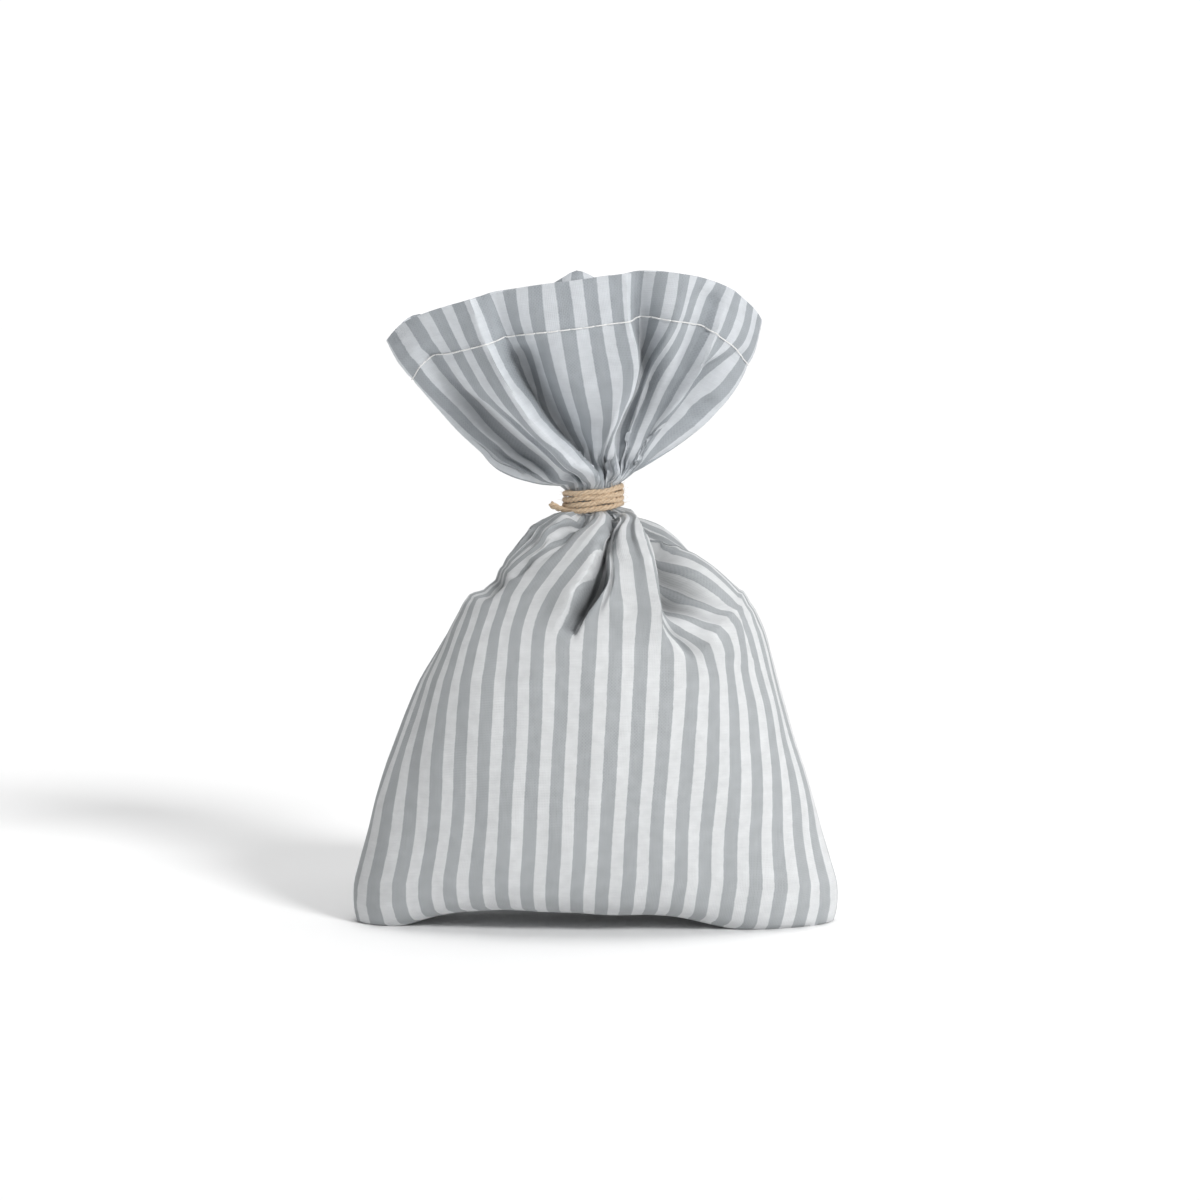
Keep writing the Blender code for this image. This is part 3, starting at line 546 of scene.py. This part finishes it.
def fold_cloth(grid, out, along, folds, on_face):
    """The cloth with its folds, each laid on its own side of the pouch, and how far they moved it out."""
    moved = grid.copy()
    raised = np.zeros(grid.shape[:2])
    flat = seen_from_front(grid)
    for fold in folds:
        path = np.array(fold.path, float)
        way = np.linspace(0.0, 1.0, PATH_STEPS)
        line = curve_through(np.linspace(0.0, 1.0, len(path)), path, way)
        reach = FOLD_REACH * max(fold.left, fold.right) + 1.0
        near = on_face[fold.face] > 0.01
        near &= (flat[..., 0] > line[:, 0].min() - reach) & (flat[..., 0] < line[:, 0].max() + reach)
        near &= (flat[..., 1] > line[:, 1].min() - reach) & (flat[..., 1] < line[:, 1].max() + reach)
        spots = flat[near]
        if not len(spots):
            continue
        gaps = spots[:, None, :] - line[None, :, :]
        far = np.linalg.norm(gaps, axis=2)
        closest = far.argmin(axis=1)
        heading = np.gradient(line, axis=0)
        side = np.stack([-heading[:, 1], heading[:, 0]], axis=1)
        side *= np.where(side[:, :1] < 0.0, -1.0, 1.0)
        side /= np.linalg.norm(side, axis=1, keepdims=True)
        apart = (gaps[np.arange(len(spots)), closest] * side[closest]).sum(axis=1)
        beyond = np.sqrt(np.maximum(far[np.arange(len(spots)), closest] ** 2 - apart**2, 0.0))
        beyond = np.where((closest == 0) | (closest == len(way) - 1), beyond, 0.0)
        part = way[closest]
        widen = STARTS_NARROW + (1.0 - STARTS_NARROW) * smooth(part / WIDENS_OVER)
        width = np.where(apart < 0.0, fold.left, fold.right) * widen
        crisp = fold.crisp or (RIDGE if fold.depth > 0.0 else TROUGH)
        bump = np.exp(-((np.abs(apart) / width) ** crisp)) * np.exp(-((beyond / ENDS_WITHIN) ** 2))
        swell = np.where(
            part < 0.5,
            fold.low + (1.0 - fold.low) * smooth(part / COMES_UP_OVER),
            fold.high + (1.0 - fold.high) * smooth((1.0 - part) / DIES_AWAY_OVER),
        )
        height = (fold.depth * swell * bump * on_face[fold.face][near])[:, None]
        moved[near] += height * out[near] + fold.lean * np.abs(height) * along[near]
        raised[near] += height[:, 0]
    return moved, raised


front_shares = np.linspace(0.0, 1.0, FRONT_THREADS, endpoint=False)
back_shares = np.linspace(1.0, 2.0, BACK_THREADS, endpoint=False)
shares = np.concatenate([front_shares, back_shares])
on_front = shares < 1.0

# The filled body, round by round from the bottom fold up to the tie
levels = np.array(BODY)
climbs = np.concatenate([[0.0], np.cumsum(np.hypot(np.diff(levels[:, 0]), np.diff(levels[:, 3])))])
spaced = np.linspace(0.0, 1.0, BODY_ROUNDS) + 0.22 * np.sin(math.pi * np.linspace(0.0, 1.0, BODY_ROUNDS))
body_levels = curve_through(climbs, levels, climbs[-1] * spaced)
front_turns = threads_on_front(body_levels, shares[on_front])
body = []
for index, row in enumerate(body_levels):
    level = Level(*row)
    points = oval(level)
    turns = turns_evenly(points, shares)
    turns[on_front] = front_turns[index]
    near_tie = smooth((level.height - GATHERS_FROM) / GATHERS_OVER)
    front_near_tie = smooth((level.height - FRONT_GATHERS_FROM) / FRONT_GATHERS_OVER)
    held = gathered_turns(shares, "below")
    turns = turns + (held - turns) * near_tie * np.where(on_front, front_near_tie, 1.0)
    body.append(at_turns(points, turns))
body = on_surface(np.array(body))

# The neck inside the tie
neck = []
for part in np.linspace(0.0, 1.0, NECK_ROUNDS + 2)[1:-1]:
    height = NECK_LOW - 0.2 + (NECK_HIGH - NECK_LOW) * part
    points = oval(Level(height, NECK_X - NECK_RADIUS, NECK_X + NECK_RADIUS, NECK_RADIUS, NECK_RADIUS))
    below, above = gathered_turns(shares, "below"), gathered_turns(shares, "above")
    neck.append(at_turns(points, below + (above - below) * part))
neck = np.array(neck)

# The open mouth above the tie
start = oval(Level(NECK_HIGH, NECK_X - COLLAR, NECK_X + COLLAR, COLLAR, COLLAR))
edge = mouth_edge()
parts = np.linspace(0.0, 1.0, MOUTH_ROUNDS + 1)[1:]
climbs_here = parts**CLIMB
opened = curve_through([o.climb for o in OPENINGS], [[o.left, o.right] for o in OPENINGS], climbs_here)
lies_at = [lie.at for lie in MOUTH_LIES]
lies = curve_through(lies_at, [lie.across for lie in MOUTH_LIES], np.maximum(parts, lies_at[0]))
to_right = (1.0 - np.cos(math.pi * TURN)) / 2
mouth = []
for climb, (left, right), across in zip(climbs_here, opened, lies):
    wide = left + (right - left) * to_right
    grown = np.stack([wide, np.full(SAMPLES, climb**DEEPEN), np.full(SAMPLES, climb)], axis=1)
    points = start + (edge - start) * grown
    from_tie = points[:, 2].mean() - NECK_HIGH
    lie = threads_on_mouth(points, across, shares)
    held = gathered_turns(shares, "above")
    mouth.append(at_turns(points, lie + (held - lie) * math.exp(-from_tie / GATHER_REACH)))
mouth = np.array(mouth)

cloth = np.concatenate([body, neck, mouth])
rounds, threads = cloth.shape[:2]
first_neck, first_mouth = BODY_ROUNDS, BODY_ROUNDS + NECK_ROUNDS
out, along = outward(cloth)
faces_front = np.broadcast_to(on_front, (rounds, threads))
below_tie = np.arange(rounds)[:, None] < first_neck
above_tie = np.arange(rounds)[:, None] >= first_mouth
back_depths = np.append(body_levels[:, 4], np.full(rounds - first_neck, 10.0))
round_the_side = 1.0 - smooth(cloth[..., 1] / (0.6 * np.maximum(back_depths, 1.0)[:, None]))
sides = {FRONT: round_the_side * below_tie, BACK: 1.0 * (~faces_front & below_tie)}
cloth, raised = fold_cloth(cloth, out, along, BODY_FOLDS, sides)
sides = {FRONT: 1.0 * (faces_front & above_tie), BACK: 1.0 * (~faces_front & above_tie)}
level_out = out * np.array([0.6, 1.0, 0.4])
cloth, raised_above = fold_cloth(cloth, level_out, along, MOUTH_FOLDS, sides)
# How far the troughs pushed the cloth in, kept for the painted shade in the folds
fold_shade = np.clip(-(raised + raised_above) / DEEPEST, 0.0, 1.0)
out, along = outward(cloth)

# Small pleats beside the tie
from_tie = np.maximum(np.maximum(NECK_LOW - cloth[..., 2], cloth[..., 2] - NECK_HIGH), 0.0)
wave = sum(p.depth * np.sin(2 * math.pi * (p.count * shares + p.start)) for p in PLEATS)
size = np.minimum(1.0, 0.25 + from_tie / 5.0) * (1.0 - smooth(from_tie / 14.0))
cloth = cloth + (size * wave[None, :])[..., None] * out

# Long soft dents that run with the threads
luck = np.random.default_rng(7)
lengths_up = np.concatenate([[0.0], np.cumsum(np.linalg.norm(np.diff(cloth, axis=0), axis=2).mean(axis=1))])
cloth_u = shares * FLAT_WIDE
dents = np.zeros((rounds, threads))
for _ in range(DENTS):
    wide, tall = luck.uniform(14.0, 40.0), luck.uniform(30.0, 110.0)
    phase_u, phase_v = luck.uniform(0.0, 2 * math.pi, 2)
    times = max(1, round(2 * FLAT_WIDE / wide))
    wave_u = np.sin(2 * math.pi * times * shares / 2.0 + phase_u)
    wave_v = np.sin(2 * math.pi * lengths_up / tall + phase_v)
    dents += DENT_DEPTH * wide / DENT_WIDE * wave_v[:, None] * wave_u[None, :]
calm = smooth(from_tie / 6.0) * np.minimum(1.0, cloth[..., 2] / 12.0)
cloth = cloth + (dents * calm)[..., None] * out

# The hem's sewn line draws the cloth in, and each side has its seam
steps_up = np.linalg.norm(np.diff(cloth, axis=0), axis=2)
to_edge = np.concatenate([np.cumsum(steps_up[::-1], axis=0)[::-1], np.zeros((1, threads))])
to_seam = np.abs((shares + 1.0) % 1.0)
to_seam = np.minimum(to_seam, 1.0 - to_seam) * FLAT_WIDE
pulled = 0.7 + 0.3 * np.sin(cloth_u * 2 * math.pi / SEWN_STEP)
sewn = -SEWN_DEEP * np.exp(-(((to_edge - HEM_DEEP) / SEWN_WIDE) ** 2)) * pulled
sewn -= SEAM_DEEP * np.exp(-((to_seam / SEAM_WIDE) ** 2))[None, :] * smooth(from_tie / 8.0)
cloth = tilted(cloth + sewn[..., None] * out)
cloth[..., 2] = np.maximum(cloth[..., 2], 0.0)

bpy.ops.object.select_all(action="DESELECT")
bpy.ops.mesh.primitive_grid_add(x_subdivisions=threads, y_subdivisions=rounds - 1, size=1.0)
pouch_cloth = bpy.context.object
pouch_cloth.name = "pouch_cloth"
mesh = pouch_cloth.data
flat = np.empty(len(mesh.vertices) * 3, np.float32)
mesh.vertices.foreach_get("co", flat)
flat = flat.reshape(-1, 3)
column = np.rint((flat[:, 0] + 0.5) * threads).astype(int)
row = np.rint((flat[:, 1] + 0.5) * (rounds - 1)).astype(int)

# The flat cloth's own measure in metres, for the stripes and the weave
corners = np.empty(len(mesh.loops), np.int32)
mesh.loops.foreach_get("vertex_index", corners)
measure = np.stack([np.append(cloth_u, 2 * FLAT_WIDE)[column], lengths_up[row]], axis=1) / 1000
mesh.uv_layers.active.name = "cloth"
mesh.uv_layers.active.data.foreach_set("uv", measure[corners].astype(np.float32).ravel())

# Wrapped on the pouch, then the last side seam and the bottom fold are closed
wrapped = cloth[row, column % threads] / 1000
bottom = cloth[0].copy()
bottom[:, 1] = 0.0
front_line = bottom[on_front]
back_x = np.interp(shares[~on_front], [1.0, 2.0], [1.0, 0.0])
for axis in range(3):
    line = np.append(front_line[:, axis], bottom[FRONT_THREADS, axis])
    bottom[~on_front, axis] = np.interp(back_x, np.append(shares[on_front], 1.0), line)
lowest = row == 0
wrapped[lowest] = bottom[column[lowest] % threads] / 1000
mesh.vertices.foreach_set("co", wrapped.astype(np.float32).ravel())
# Stored with the mesh for the painted shade in the folds
fold_shade_layer = mesh.attributes.new("fold_shade", "FLOAT", "POINT")
fold_shade_layer.data.foreach_set("value", fold_shade[row, column % threads].astype(np.float32))
wall = pouch_cloth.vertex_groups.new(name="wall")
thick = np.full(rounds, CLOTH_THICK)
thick[first_neck:first_mouth] = NECK_THICK
thick[to_edge.mean(axis=1) < HEM_DEEP - 0.6] = HEM_THICK
for number in range(rounds):
    rows_here = np.where(row == number)[0].tolist()
    wall.add(rows_here, float(thick[number] / NECK_THICK), "REPLACE")
bpy.ops.object.mode_set(mode="EDIT")
bpy.ops.mesh.select_all(action="SELECT")
bpy.ops.mesh.remove_doubles(threshold=0.000004)
bpy.ops.object.mode_set(mode="OBJECT")
bpy.ops.object.modifier_add(type="SOLIDIFY")
solidify = pouch_cloth.modifiers[-1]
solidify.thickness = NECK_THICK / 1000
solidify.offset = -1.0
solidify.vertex_group = "wall"
solidify.use_rim = True
bpy.ops.object.modifier_apply(modifier=solidify.name)
bpy.ops.object.shade_smooth_by_angle(angle=math.radians(60))


def new_material(name):
    """A new material, and its shader."""
    material = bpy.data.materials.new(name)
    material.use_nodes = True
    return material, material.node_tree.nodes["Principled BSDF"]


def feed(socket, given):
    """Joins an output to a socket, or sets the socket to a plain value."""
    if isinstance(given, bpy.types.NodeSocket):
        socket.id_data.links.new(given, socket)
    else:
        socket.default_value = given


def value_of(kind, *inputs):
    """The result of one sum, in the material that its inputs belong to."""
    tree = next(given.id_data for given in inputs if isinstance(given, bpy.types.NodeSocket))
    node = tree.nodes.new("ShaderNodeMath")
    node.operation = kind
    for socket, given in zip(node.inputs, inputs):
        feed(socket, given)
    return node.outputs[0]


def stretched(places, scale):
    """The places with a scale of their own along each axis."""
    node = places.id_data.nodes.new("ShaderNodeMapping")
    feed(node.inputs["Scale"], scale)
    feed(node.inputs["Vector"], places)
    return node.outputs[0]


def noise(places, scale, detail, roughness=0.5):
    """Uneven patches or specks at these places."""
    node = places.id_data.nodes.new("ShaderNodeTexNoise")
    feed(node.inputs["Scale"], scale)
    feed(node.inputs["Detail"], detail)
    feed(node.inputs["Roughness"], roughness)
    feed(node.inputs["Vector"], places)
    return node.outputs["Fac"]


def carried(value, came=(0.0, 1.0), goes=(0.0, 1.0), kind="LINEAR"):
    """A value carried from one range to another, and held at its ends."""
    node = value.id_data.nodes.new("ShaderNodeMapRange")
    node.interpolation_type = kind
    for name, given in zip(("From Min", "From Max", "To Min", "To Max"), (*came, *goes)):
        feed(node.inputs[name], given)
    feed(node.inputs["Value"], value)
    return node.outputs[0]


def mixed(share, first, second, kind="MIX"):
    """Two colours mixed or multiplied. A colour is an output, or red, green and blue."""
    tree = next(given.id_data for given in (share, first, second) if isinstance(given, bpy.types.NodeSocket))
    node = tree.nodes.new("ShaderNodeMix")
    node.data_type = "RGBA"
    node.blend_type = kind
    feed(node.inputs["Factor"], share)
    for name, given in (("A", first), ("B", second)):
        feed(node.inputs[name], (*given, 1.0) if isinstance(given, tuple) else given)
    return node.outputs["Result"]


def bumped(shader, height, strength, distance):
    """The shader's surface raised by a height."""
    node = shader.id_data.nodes.new("ShaderNodeBump")
    feed(node.inputs["Strength"], strength)
    feed(node.inputs["Distance"], distance)
    feed(node.inputs["Height"], height)
    feed(shader.inputs["Normal"], node.outputs[0])


cotton, shader = new_material("striped_cotton")
nodes = cotton.node_tree.nodes
measure_node = nodes.new("ShaderNodeUVMap")
measure_node.uv_map = "cloth"
flat_places = measure_node.outputs["UV"]
split = nodes.new("ShaderNodeSeparateXYZ")
feed(split.inputs[0], flat_places)
across = value_of("MULTIPLY", split.outputs["X"], 1000.0)
upward = value_of("MULTIPLY", split.outputs["Y"], 1000.0)

# Stripes: each woven edge wanders by less than a thread
wander = noise(flat_places, 900.0, 2.0)
drift = value_of("MULTIPLY", value_of("SUBTRACT", wander, 0.5), 0.30)
placed = value_of("ADD", value_of("SUBTRACT", across, STRIPE_START), drift)
stripe = carried(value_of("PINGPONG", placed, STRIPES / 2), came=(1.72, 1.56))

# Plain weave: warp and weft pass over each other in turn
THREADS_A_MM = 2.6
warp = value_of("SINE", value_of("MULTIPLY", across, math.pi * THREADS_A_MM))
weft = value_of("SINE", value_of("MULTIPLY", upward, math.pi * THREADS_A_MM))
over = value_of("MULTIPLY", warp, weft)
warp_up = carried(over, came=(-0.35, 0.35))

# Slubs: threads are thicker and darker in places, long along each thread
slubs = noise(stretched(flat_places, (2600.0, 160.0, 1.0)), 1.0, 3.0)
cross_slubs = noise(stretched(flat_places, (180.0, 2400.0, 1.0)), 1.0, 3.0)
mottle = noise(flat_places, 320.0, 5.0)

grey_tone = mixed(slubs, (0.300, 0.320, 0.336), (0.475, 0.493, 0.504))
white_tone = mixed(cross_slubs, (0.640, 0.655, 0.665), (0.730, 0.740, 0.747))
warp_colour = mixed(stripe, white_tone, grey_tone)
weft_colour = mixed(stripe, white_tone, (0.420, 0.438, 0.452))
woven = mixed(warp_up, weft_colour, warp_colour)
worn = mixed(1.0, woven, carried(mottle, came=(0.3, 0.7), goes=(0.93, 1.05)), "MULTIPLY")

# Painted shade: the mouth above the tie is painted a little darker and bluer, for the shade inside the empty
# mouth that shows through the thin cloth
mouth_starts = (float(lengths_up[first_neck - 8]), float(lengths_up[first_mouth + 8]))
mouth_shade_share = carried(upward, came=mouth_starts, kind="SMOOTHSTEP")
painted_mouth_shade = mixed(mouth_shade_share, (1.0, 1.0, 1.0), (0.945, 0.968, 1.0))

# Painted shade: deep in the folds, where the cloth lies on itself, its colour is painted darker
fold_shade_attribute = nodes.new("ShaderNodeAttribute")
fold_shade_attribute.attribute_name = "fold_shade"
painted_fold_shade = carried(fold_shade_attribute.outputs["Fac"], goes=(1.0, 0.62), kind="SMOOTHSTEP")
shaded = mixed(1.0, mixed(1.0, worn, painted_mouth_shade, "MULTIPLY"), painted_fold_shade, "MULTIPLY")
feed(shader.inputs["Base Color"], shaded)

height = value_of("ADD", value_of("ABSOLUTE", over), value_of("MULTIPLY", slubs, 0.8))
height = value_of("ADD", height, value_of("MULTIPLY", cross_slubs, 0.8))
bumped(shader, height, 0.5, 0.00008)
feed(shader.inputs["Roughness"], carried(mottle, goes=(0.82, 0.96)))
shader.inputs["Sheen Weight"].default_value = 0.12
shader.inputs["Sheen Roughness"].default_value = 0.5
shader.inputs["Specular IOR Level"].default_value = 0.25
pouch_cloth.data.materials.append(cotton)
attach(pouch_cloth, "root")
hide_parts("pouch")


# Hem stitching
# White cotton sewing thread in a plain lockstitch 11 mm below the mouth's edge, about 9 stitches to the inch.
# One thread lies outside the hem and one inside, and both dip into the cloth at each needle hole.

STITCH = 2.8
STITCH_POINTS = 8
THREAD = 0.17
BETWEEN_HOLES = 0.14
INTO_HOLE = 0.42
OUTSIDE, INSIDE = 0.10, -HEM_THICK - 0.06

flipped = to_edge[::-1]
sewn_line = np.empty((threads, 3))
sewn_out = np.empty((threads, 3))
for number in range(threads):
    for axis in range(3):
        sewn_line[number, axis] = np.interp(HEM_DEEP, flipped[:, number], cloth[::-1, number, axis])
        sewn_out[number, axis] = np.interp(HEM_DEEP, flipped[:, number], out[::-1, number, axis])
sewn_out /= np.linalg.norm(sewn_out, axis=1, keepdims=True)
seam_steps = np.linalg.norm(np.roll(sewn_line, -1, axis=0) - sewn_line, axis=1)
seam_along = np.concatenate([[0.0], np.cumsum(seam_steps)])
closed_line = np.append(sewn_line, sewn_line[:1], axis=0)
closed_out = np.append(sewn_out, sewn_out[:1], axis=0)
steps = round(seam_along[-1] / STITCH) * STITCH_POINTS
threads_made = []
for name, lift in (("hem_stitches", OUTSIDE), ("hem_stitches_inside", INSIDE)):
    curve = bpy.data.curves.new(name, "CURVE")
    curve.dimensions = "3D"
    spline = curve.splines.new("POLY")
    spline.points.add(steps - 1)
    spline.use_cyclic_u = True
    for step in range(steps):
        place = seam_along[-1] * step / steps
        spot = np.array([np.interp(place, seam_along, closed_line[:, axis]) for axis in range(3)])
        push = np.array([np.interp(place, seam_along, closed_out[:, axis]) for axis in range(3)])
        within = abs(step % STITCH_POINTS - STITCH_POINTS / 2) / (STITCH_POINTS / 2)
        raised = lift + math.copysign(BETWEEN_HOLES, lift) - math.copysign(INTO_HOLE, lift) * within**6
        spot = (spot + push * raised) / 1000
        spline.points[step].co = (*spot, 1.0)
    curve.bevel_depth = THREAD / 1000
    curve.bevel_resolution = 1
    thread = bpy.data.objects.new(name, curve)
    bpy.context.scene.collection.objects.link(thread)
    bpy.ops.object.select_all(action="DESELECT")
    thread.select_set(True)
    bpy.context.view_layer.objects.active = thread
    bpy.ops.object.convert(target="MESH")
    bpy.ops.object.shade_smooth()
    threads_made.append(bpy.context.object)

sewing_thread, shader = new_material("sewing_thread")
places = sewing_thread.node_tree.nodes.new("ShaderNodeTexCoord")
twist = noise(places.outputs["Object"], 4000.0, 2.0)
feed(shader.inputs["Base Color"], mixed(twist, (0.78, 0.78, 0.77), (0.93, 0.93, 0.92)))
bumped(shader, twist, 0.5, 0.00005)
shader.inputs["Roughness"].default_value = 0.7
shader.inputs["Sheen Weight"].default_value = 0.2
for thread in threads_made:
    thread.data.materials.append(sewing_thread)
    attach(thread, "root")


# Twine
# Three-ply jute, 1.4 mm thick, wound three and a half times round the neck and tucked behind, with one short
# free end at the left. The plies are laid round each other, and loose fibres stand out of them.

TWINE_RADIUS = 0.69
TWINE_TURNS = 3.45
TWINE_PITCH = 1.33
TWINE_TAIL = 7.4
TWINE_LEAVES = 234.0
TIED_RADIUS = 5.6
TWINE_CLEAR = 0.3
WOUND_RADIUS = TIED_RADIUS + TWINE_CLEAR + TWINE_RADIUS
TWIST = 4.4
TURN_POINTS = 120
TAIL_POINTS = 18
PLY_SIDES = 10
FIBRES = 620

leave = math.radians(TWINE_LEAVES)
total = 2 * math.pi * TWINE_TURNS
top = NECK_HIGH - TWINE_RADIUS - 0.15
wound_points = int(TWINE_TURNS * TURN_POINTS)
route = []
for step in range(wound_points + 1):
    turned = total * step / wound_points
    angle = leave + total - turned
    wobble = 0.12 * math.sin(2.3 * turned) + 0.07 * math.sin(5.7 * turned + 1.0)
    route.append(
        np.array([
            NECK_X + WOUND_RADIUS * math.cos(angle),
            WOUND_RADIUS * math.sin(angle),
            top - TWINE_PITCH * turned / (2 * math.pi) + wobble,
        ])
    )
heading = route[-1] - route[-2]
heading /= np.linalg.norm(heading)
begin = route[-1]
for step in range(1, TAIL_POINTS + 1):
    far = TWINE_TAIL * step / TAIL_POINTS
    route.append(begin + heading * far + np.array([0.0, -0.12, 0.24]) * far * step / TAIL_POINTS)
route = tilted(np.array(route))


def tube(points, radii, sides):
    """The corners and faces of a closed tube along these points."""
    corners, faces = [], []
    ahead = np.gradient(points, axis=0)
    ahead /= np.linalg.norm(ahead, axis=1, keepdims=True)
    side = np.cross(ahead, (0.1, 0.2, 1.0))
    side /= np.linalg.norm(side, axis=1, keepdims=True)
    up = np.cross(side, ahead)
    for index, point in enumerate(points):
        for corner in range(sides):
            angle = 2 * math.pi * corner / sides
            off = math.cos(angle) * side[index] + math.sin(angle) * up[index]
            corners.append(point + radii[index] * off)
    for index in range(len(points) - 1):
        for corner in range(sides):
            after = (corner + 1) % sides
            low, high = index * sides, (index + 1) * sides
            faces.append((low + corner, low + after, high + after, high + corner))
    faces.append(tuple(range(sides))[::-1])
    faces.append(tuple(range(len(corners) - sides, len(corners))))
    return corners, faces


ahead = np.gradient(route, axis=0)
walked = np.concatenate([[0.0], np.cumsum(np.linalg.norm(np.diff(route, axis=0), axis=1))])
ahead /= np.linalg.norm(ahead, axis=1, keepdims=True)
side = np.cross(ahead, (0.0, 0.0, 1.0))
side /= np.linalg.norm(side, axis=1, keepdims=True)
up = np.cross(side, ahead)
corners, faces = [], []


def add_tube(points, radii, sides):
    """One more tube in the twine's mesh."""
    new_corners, new_faces = tube(points, radii, sides)
    faces.extend(tuple(index + len(corners) for index in face) for face in new_faces)
    corners.extend(new_corners)


luck = np.random.default_rng(21)
for ply in (0, 1, 2):
    lay = 2 * math.pi * (walked / TWIST + ply / 3)
    spread = 0.33 + 0.03 * np.sin(walked * 1.7 + 2.0 * ply)
    spread[-8:] = np.linspace(0.34, 0.58, 8)
    centre = route + spread[:, None] * (np.cos(lay)[:, None] * side + np.sin(lay)[:, None] * up)
    radii = 0.37 + 0.03 * np.sin(walked * 2.3 + 2.0 * ply)
    radii[-4:] *= np.linspace(1.0, 0.8, 4)
    add_tube(centre, radii, PLY_SIDES)
for _ in range(FIBRES):
    at = int(luck.integers(4, len(route) - 2))
    spin = luck.uniform(0.0, 2 * math.pi)
    out_of = math.cos(spin) * side[at] + math.sin(spin) * up[at]
    root = route[at] + out_of * 0.55
    length = luck.uniform(0.6, 2.4)
    bend = luck.normal(0.0, 0.35, 3)
    run = ahead[at] * luck.choice([-1.0, 1.0])
    hair = np.array([
        root + length * t * (0.75 * run + 0.35 * out_of) + bend * length * t * t for t in np.linspace(0, 1, 6)
    ])
    off_axis = hair[:, :2] - np.array([NECK_X, 0.0])
    reach_out = np.linalg.norm(off_axis, axis=1)
    keep = np.maximum(reach_out, WOUND_RADIUS - 0.5) / reach_out
    hair[:, :2] = np.array([NECK_X, 0.0]) + off_axis * keep[:, None]
    add_tube(hair, np.linspace(0.035, 0.012, 6), 3)
mesh = bpy.data.meshes.new("twine_tie")
mesh.from_pydata([tuple(c / 1000) for c in corners], [], faces)
mesh.shade_smooth()
twine_tie = bpy.data.objects.new("twine_tie", mesh)
bpy.context.scene.collection.objects.link(twine_tie)

jute, shader = new_material("jute_twine")
nodes = jute.node_tree.nodes
places = nodes.new("ShaderNodeTexCoord").outputs["Object"]
fibres = noise(stretched(places, (1.0, 1.0, 2.2)), 3200.0, 6.0, 0.65)
patches = noise(places, 500.0, 3.0)
fibre_tone = nodes.new("ShaderNodeValToRGB")
dark_fibre, light_fibre = fibre_tone.color_ramp.elements
dark_fibre.position, light_fibre.position = 0.30, 0.68
dark_fibre.color = (0.36, 0.235, 0.135, 1.0)
light_fibre.color = (0.86, 0.69, 0.50, 1.0)
feed(fibre_tone.inputs["Fac"], fibres)
patch_part = value_of("MULTIPLY", patches, 0.55)
feed(shader.inputs["Base Color"], mixed(patch_part, fibre_tone.outputs["Color"], (0.74, 0.56, 0.38)))
bumped(shader, fibres, 0.7, 0.00015)
shader.inputs["Roughness"].default_value = 0.82
shader.inputs["Sheen Weight"].default_value = 0.25
twine_tie.data.materials.append(jute)
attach(twine_tie, "root")
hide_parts("twine")


# Floor and light
# A white surface under two soft lamps: one high at the front right, which throws the shadow to the left, and
# a much wider one overhead. White walls near the horizon add a little from all sides.

bpy.ops.object.select_all(action="DESELECT")
bpy.ops.mesh.primitive_plane_add(size=12.0, location=(0.0, 0.0, 0.0))
floor = bpy.context.object
floor.name = "floor"
white, shader = new_material("white_surface")
shader.inputs["Base Color"].default_value = (0.98, 0.98, 0.98, 1.0)
shader.inputs["Roughness"].default_value = 0.9
shader.inputs["Specular IOR Level"].default_value = 0.0
floor.data.materials.append(white)

Lamp = namedtuple("Lamp", "name place softness strength")
LAMPS = [
    Lamp("front_lamp", (0.58, -0.68, 0.57), 13.0, 1.98),
    Lamp("top_lamp", (0.10, 0.06, 1.00), 50.0, 1.90),
]
for lamp in LAMPS:
    bpy.ops.object.light_add(type="SUN", location=lamp.place)
    light = bpy.context.object
    light.name = lamp.name
    light.data.angle = math.radians(lamp.softness)
    light.data.energy = lamp.strength
    facing = -Vector(lamp.place)
    light.rotation_euler = facing.to_track_quat("-Z", "Y").to_euler()

# White walls near the horizon and a dimmer ceiling
world = bpy.data.worlds.new("studio")
bpy.context.scene.world = world
world.use_nodes = True
nodes = world.node_tree.nodes
direction = nodes.new("ShaderNodeTexCoord")
split = nodes.new("ShaderNodeSeparateXYZ")
feed(split.inputs[0], direction.outputs["Generated"])
wall_light = carried(split.outputs["Z"], came=(0.08, 0.12), goes=(1.06, 0.10), kind="SMOOTHSTEP")
feed(nodes["Background"].inputs["Strength"], wall_light)
nodes["Background"].inputs["Color"].default_value = (1.0, 1.0, 1.0, 1.0)
bpy.context.scene.view_settings.view_transform = "Standard"
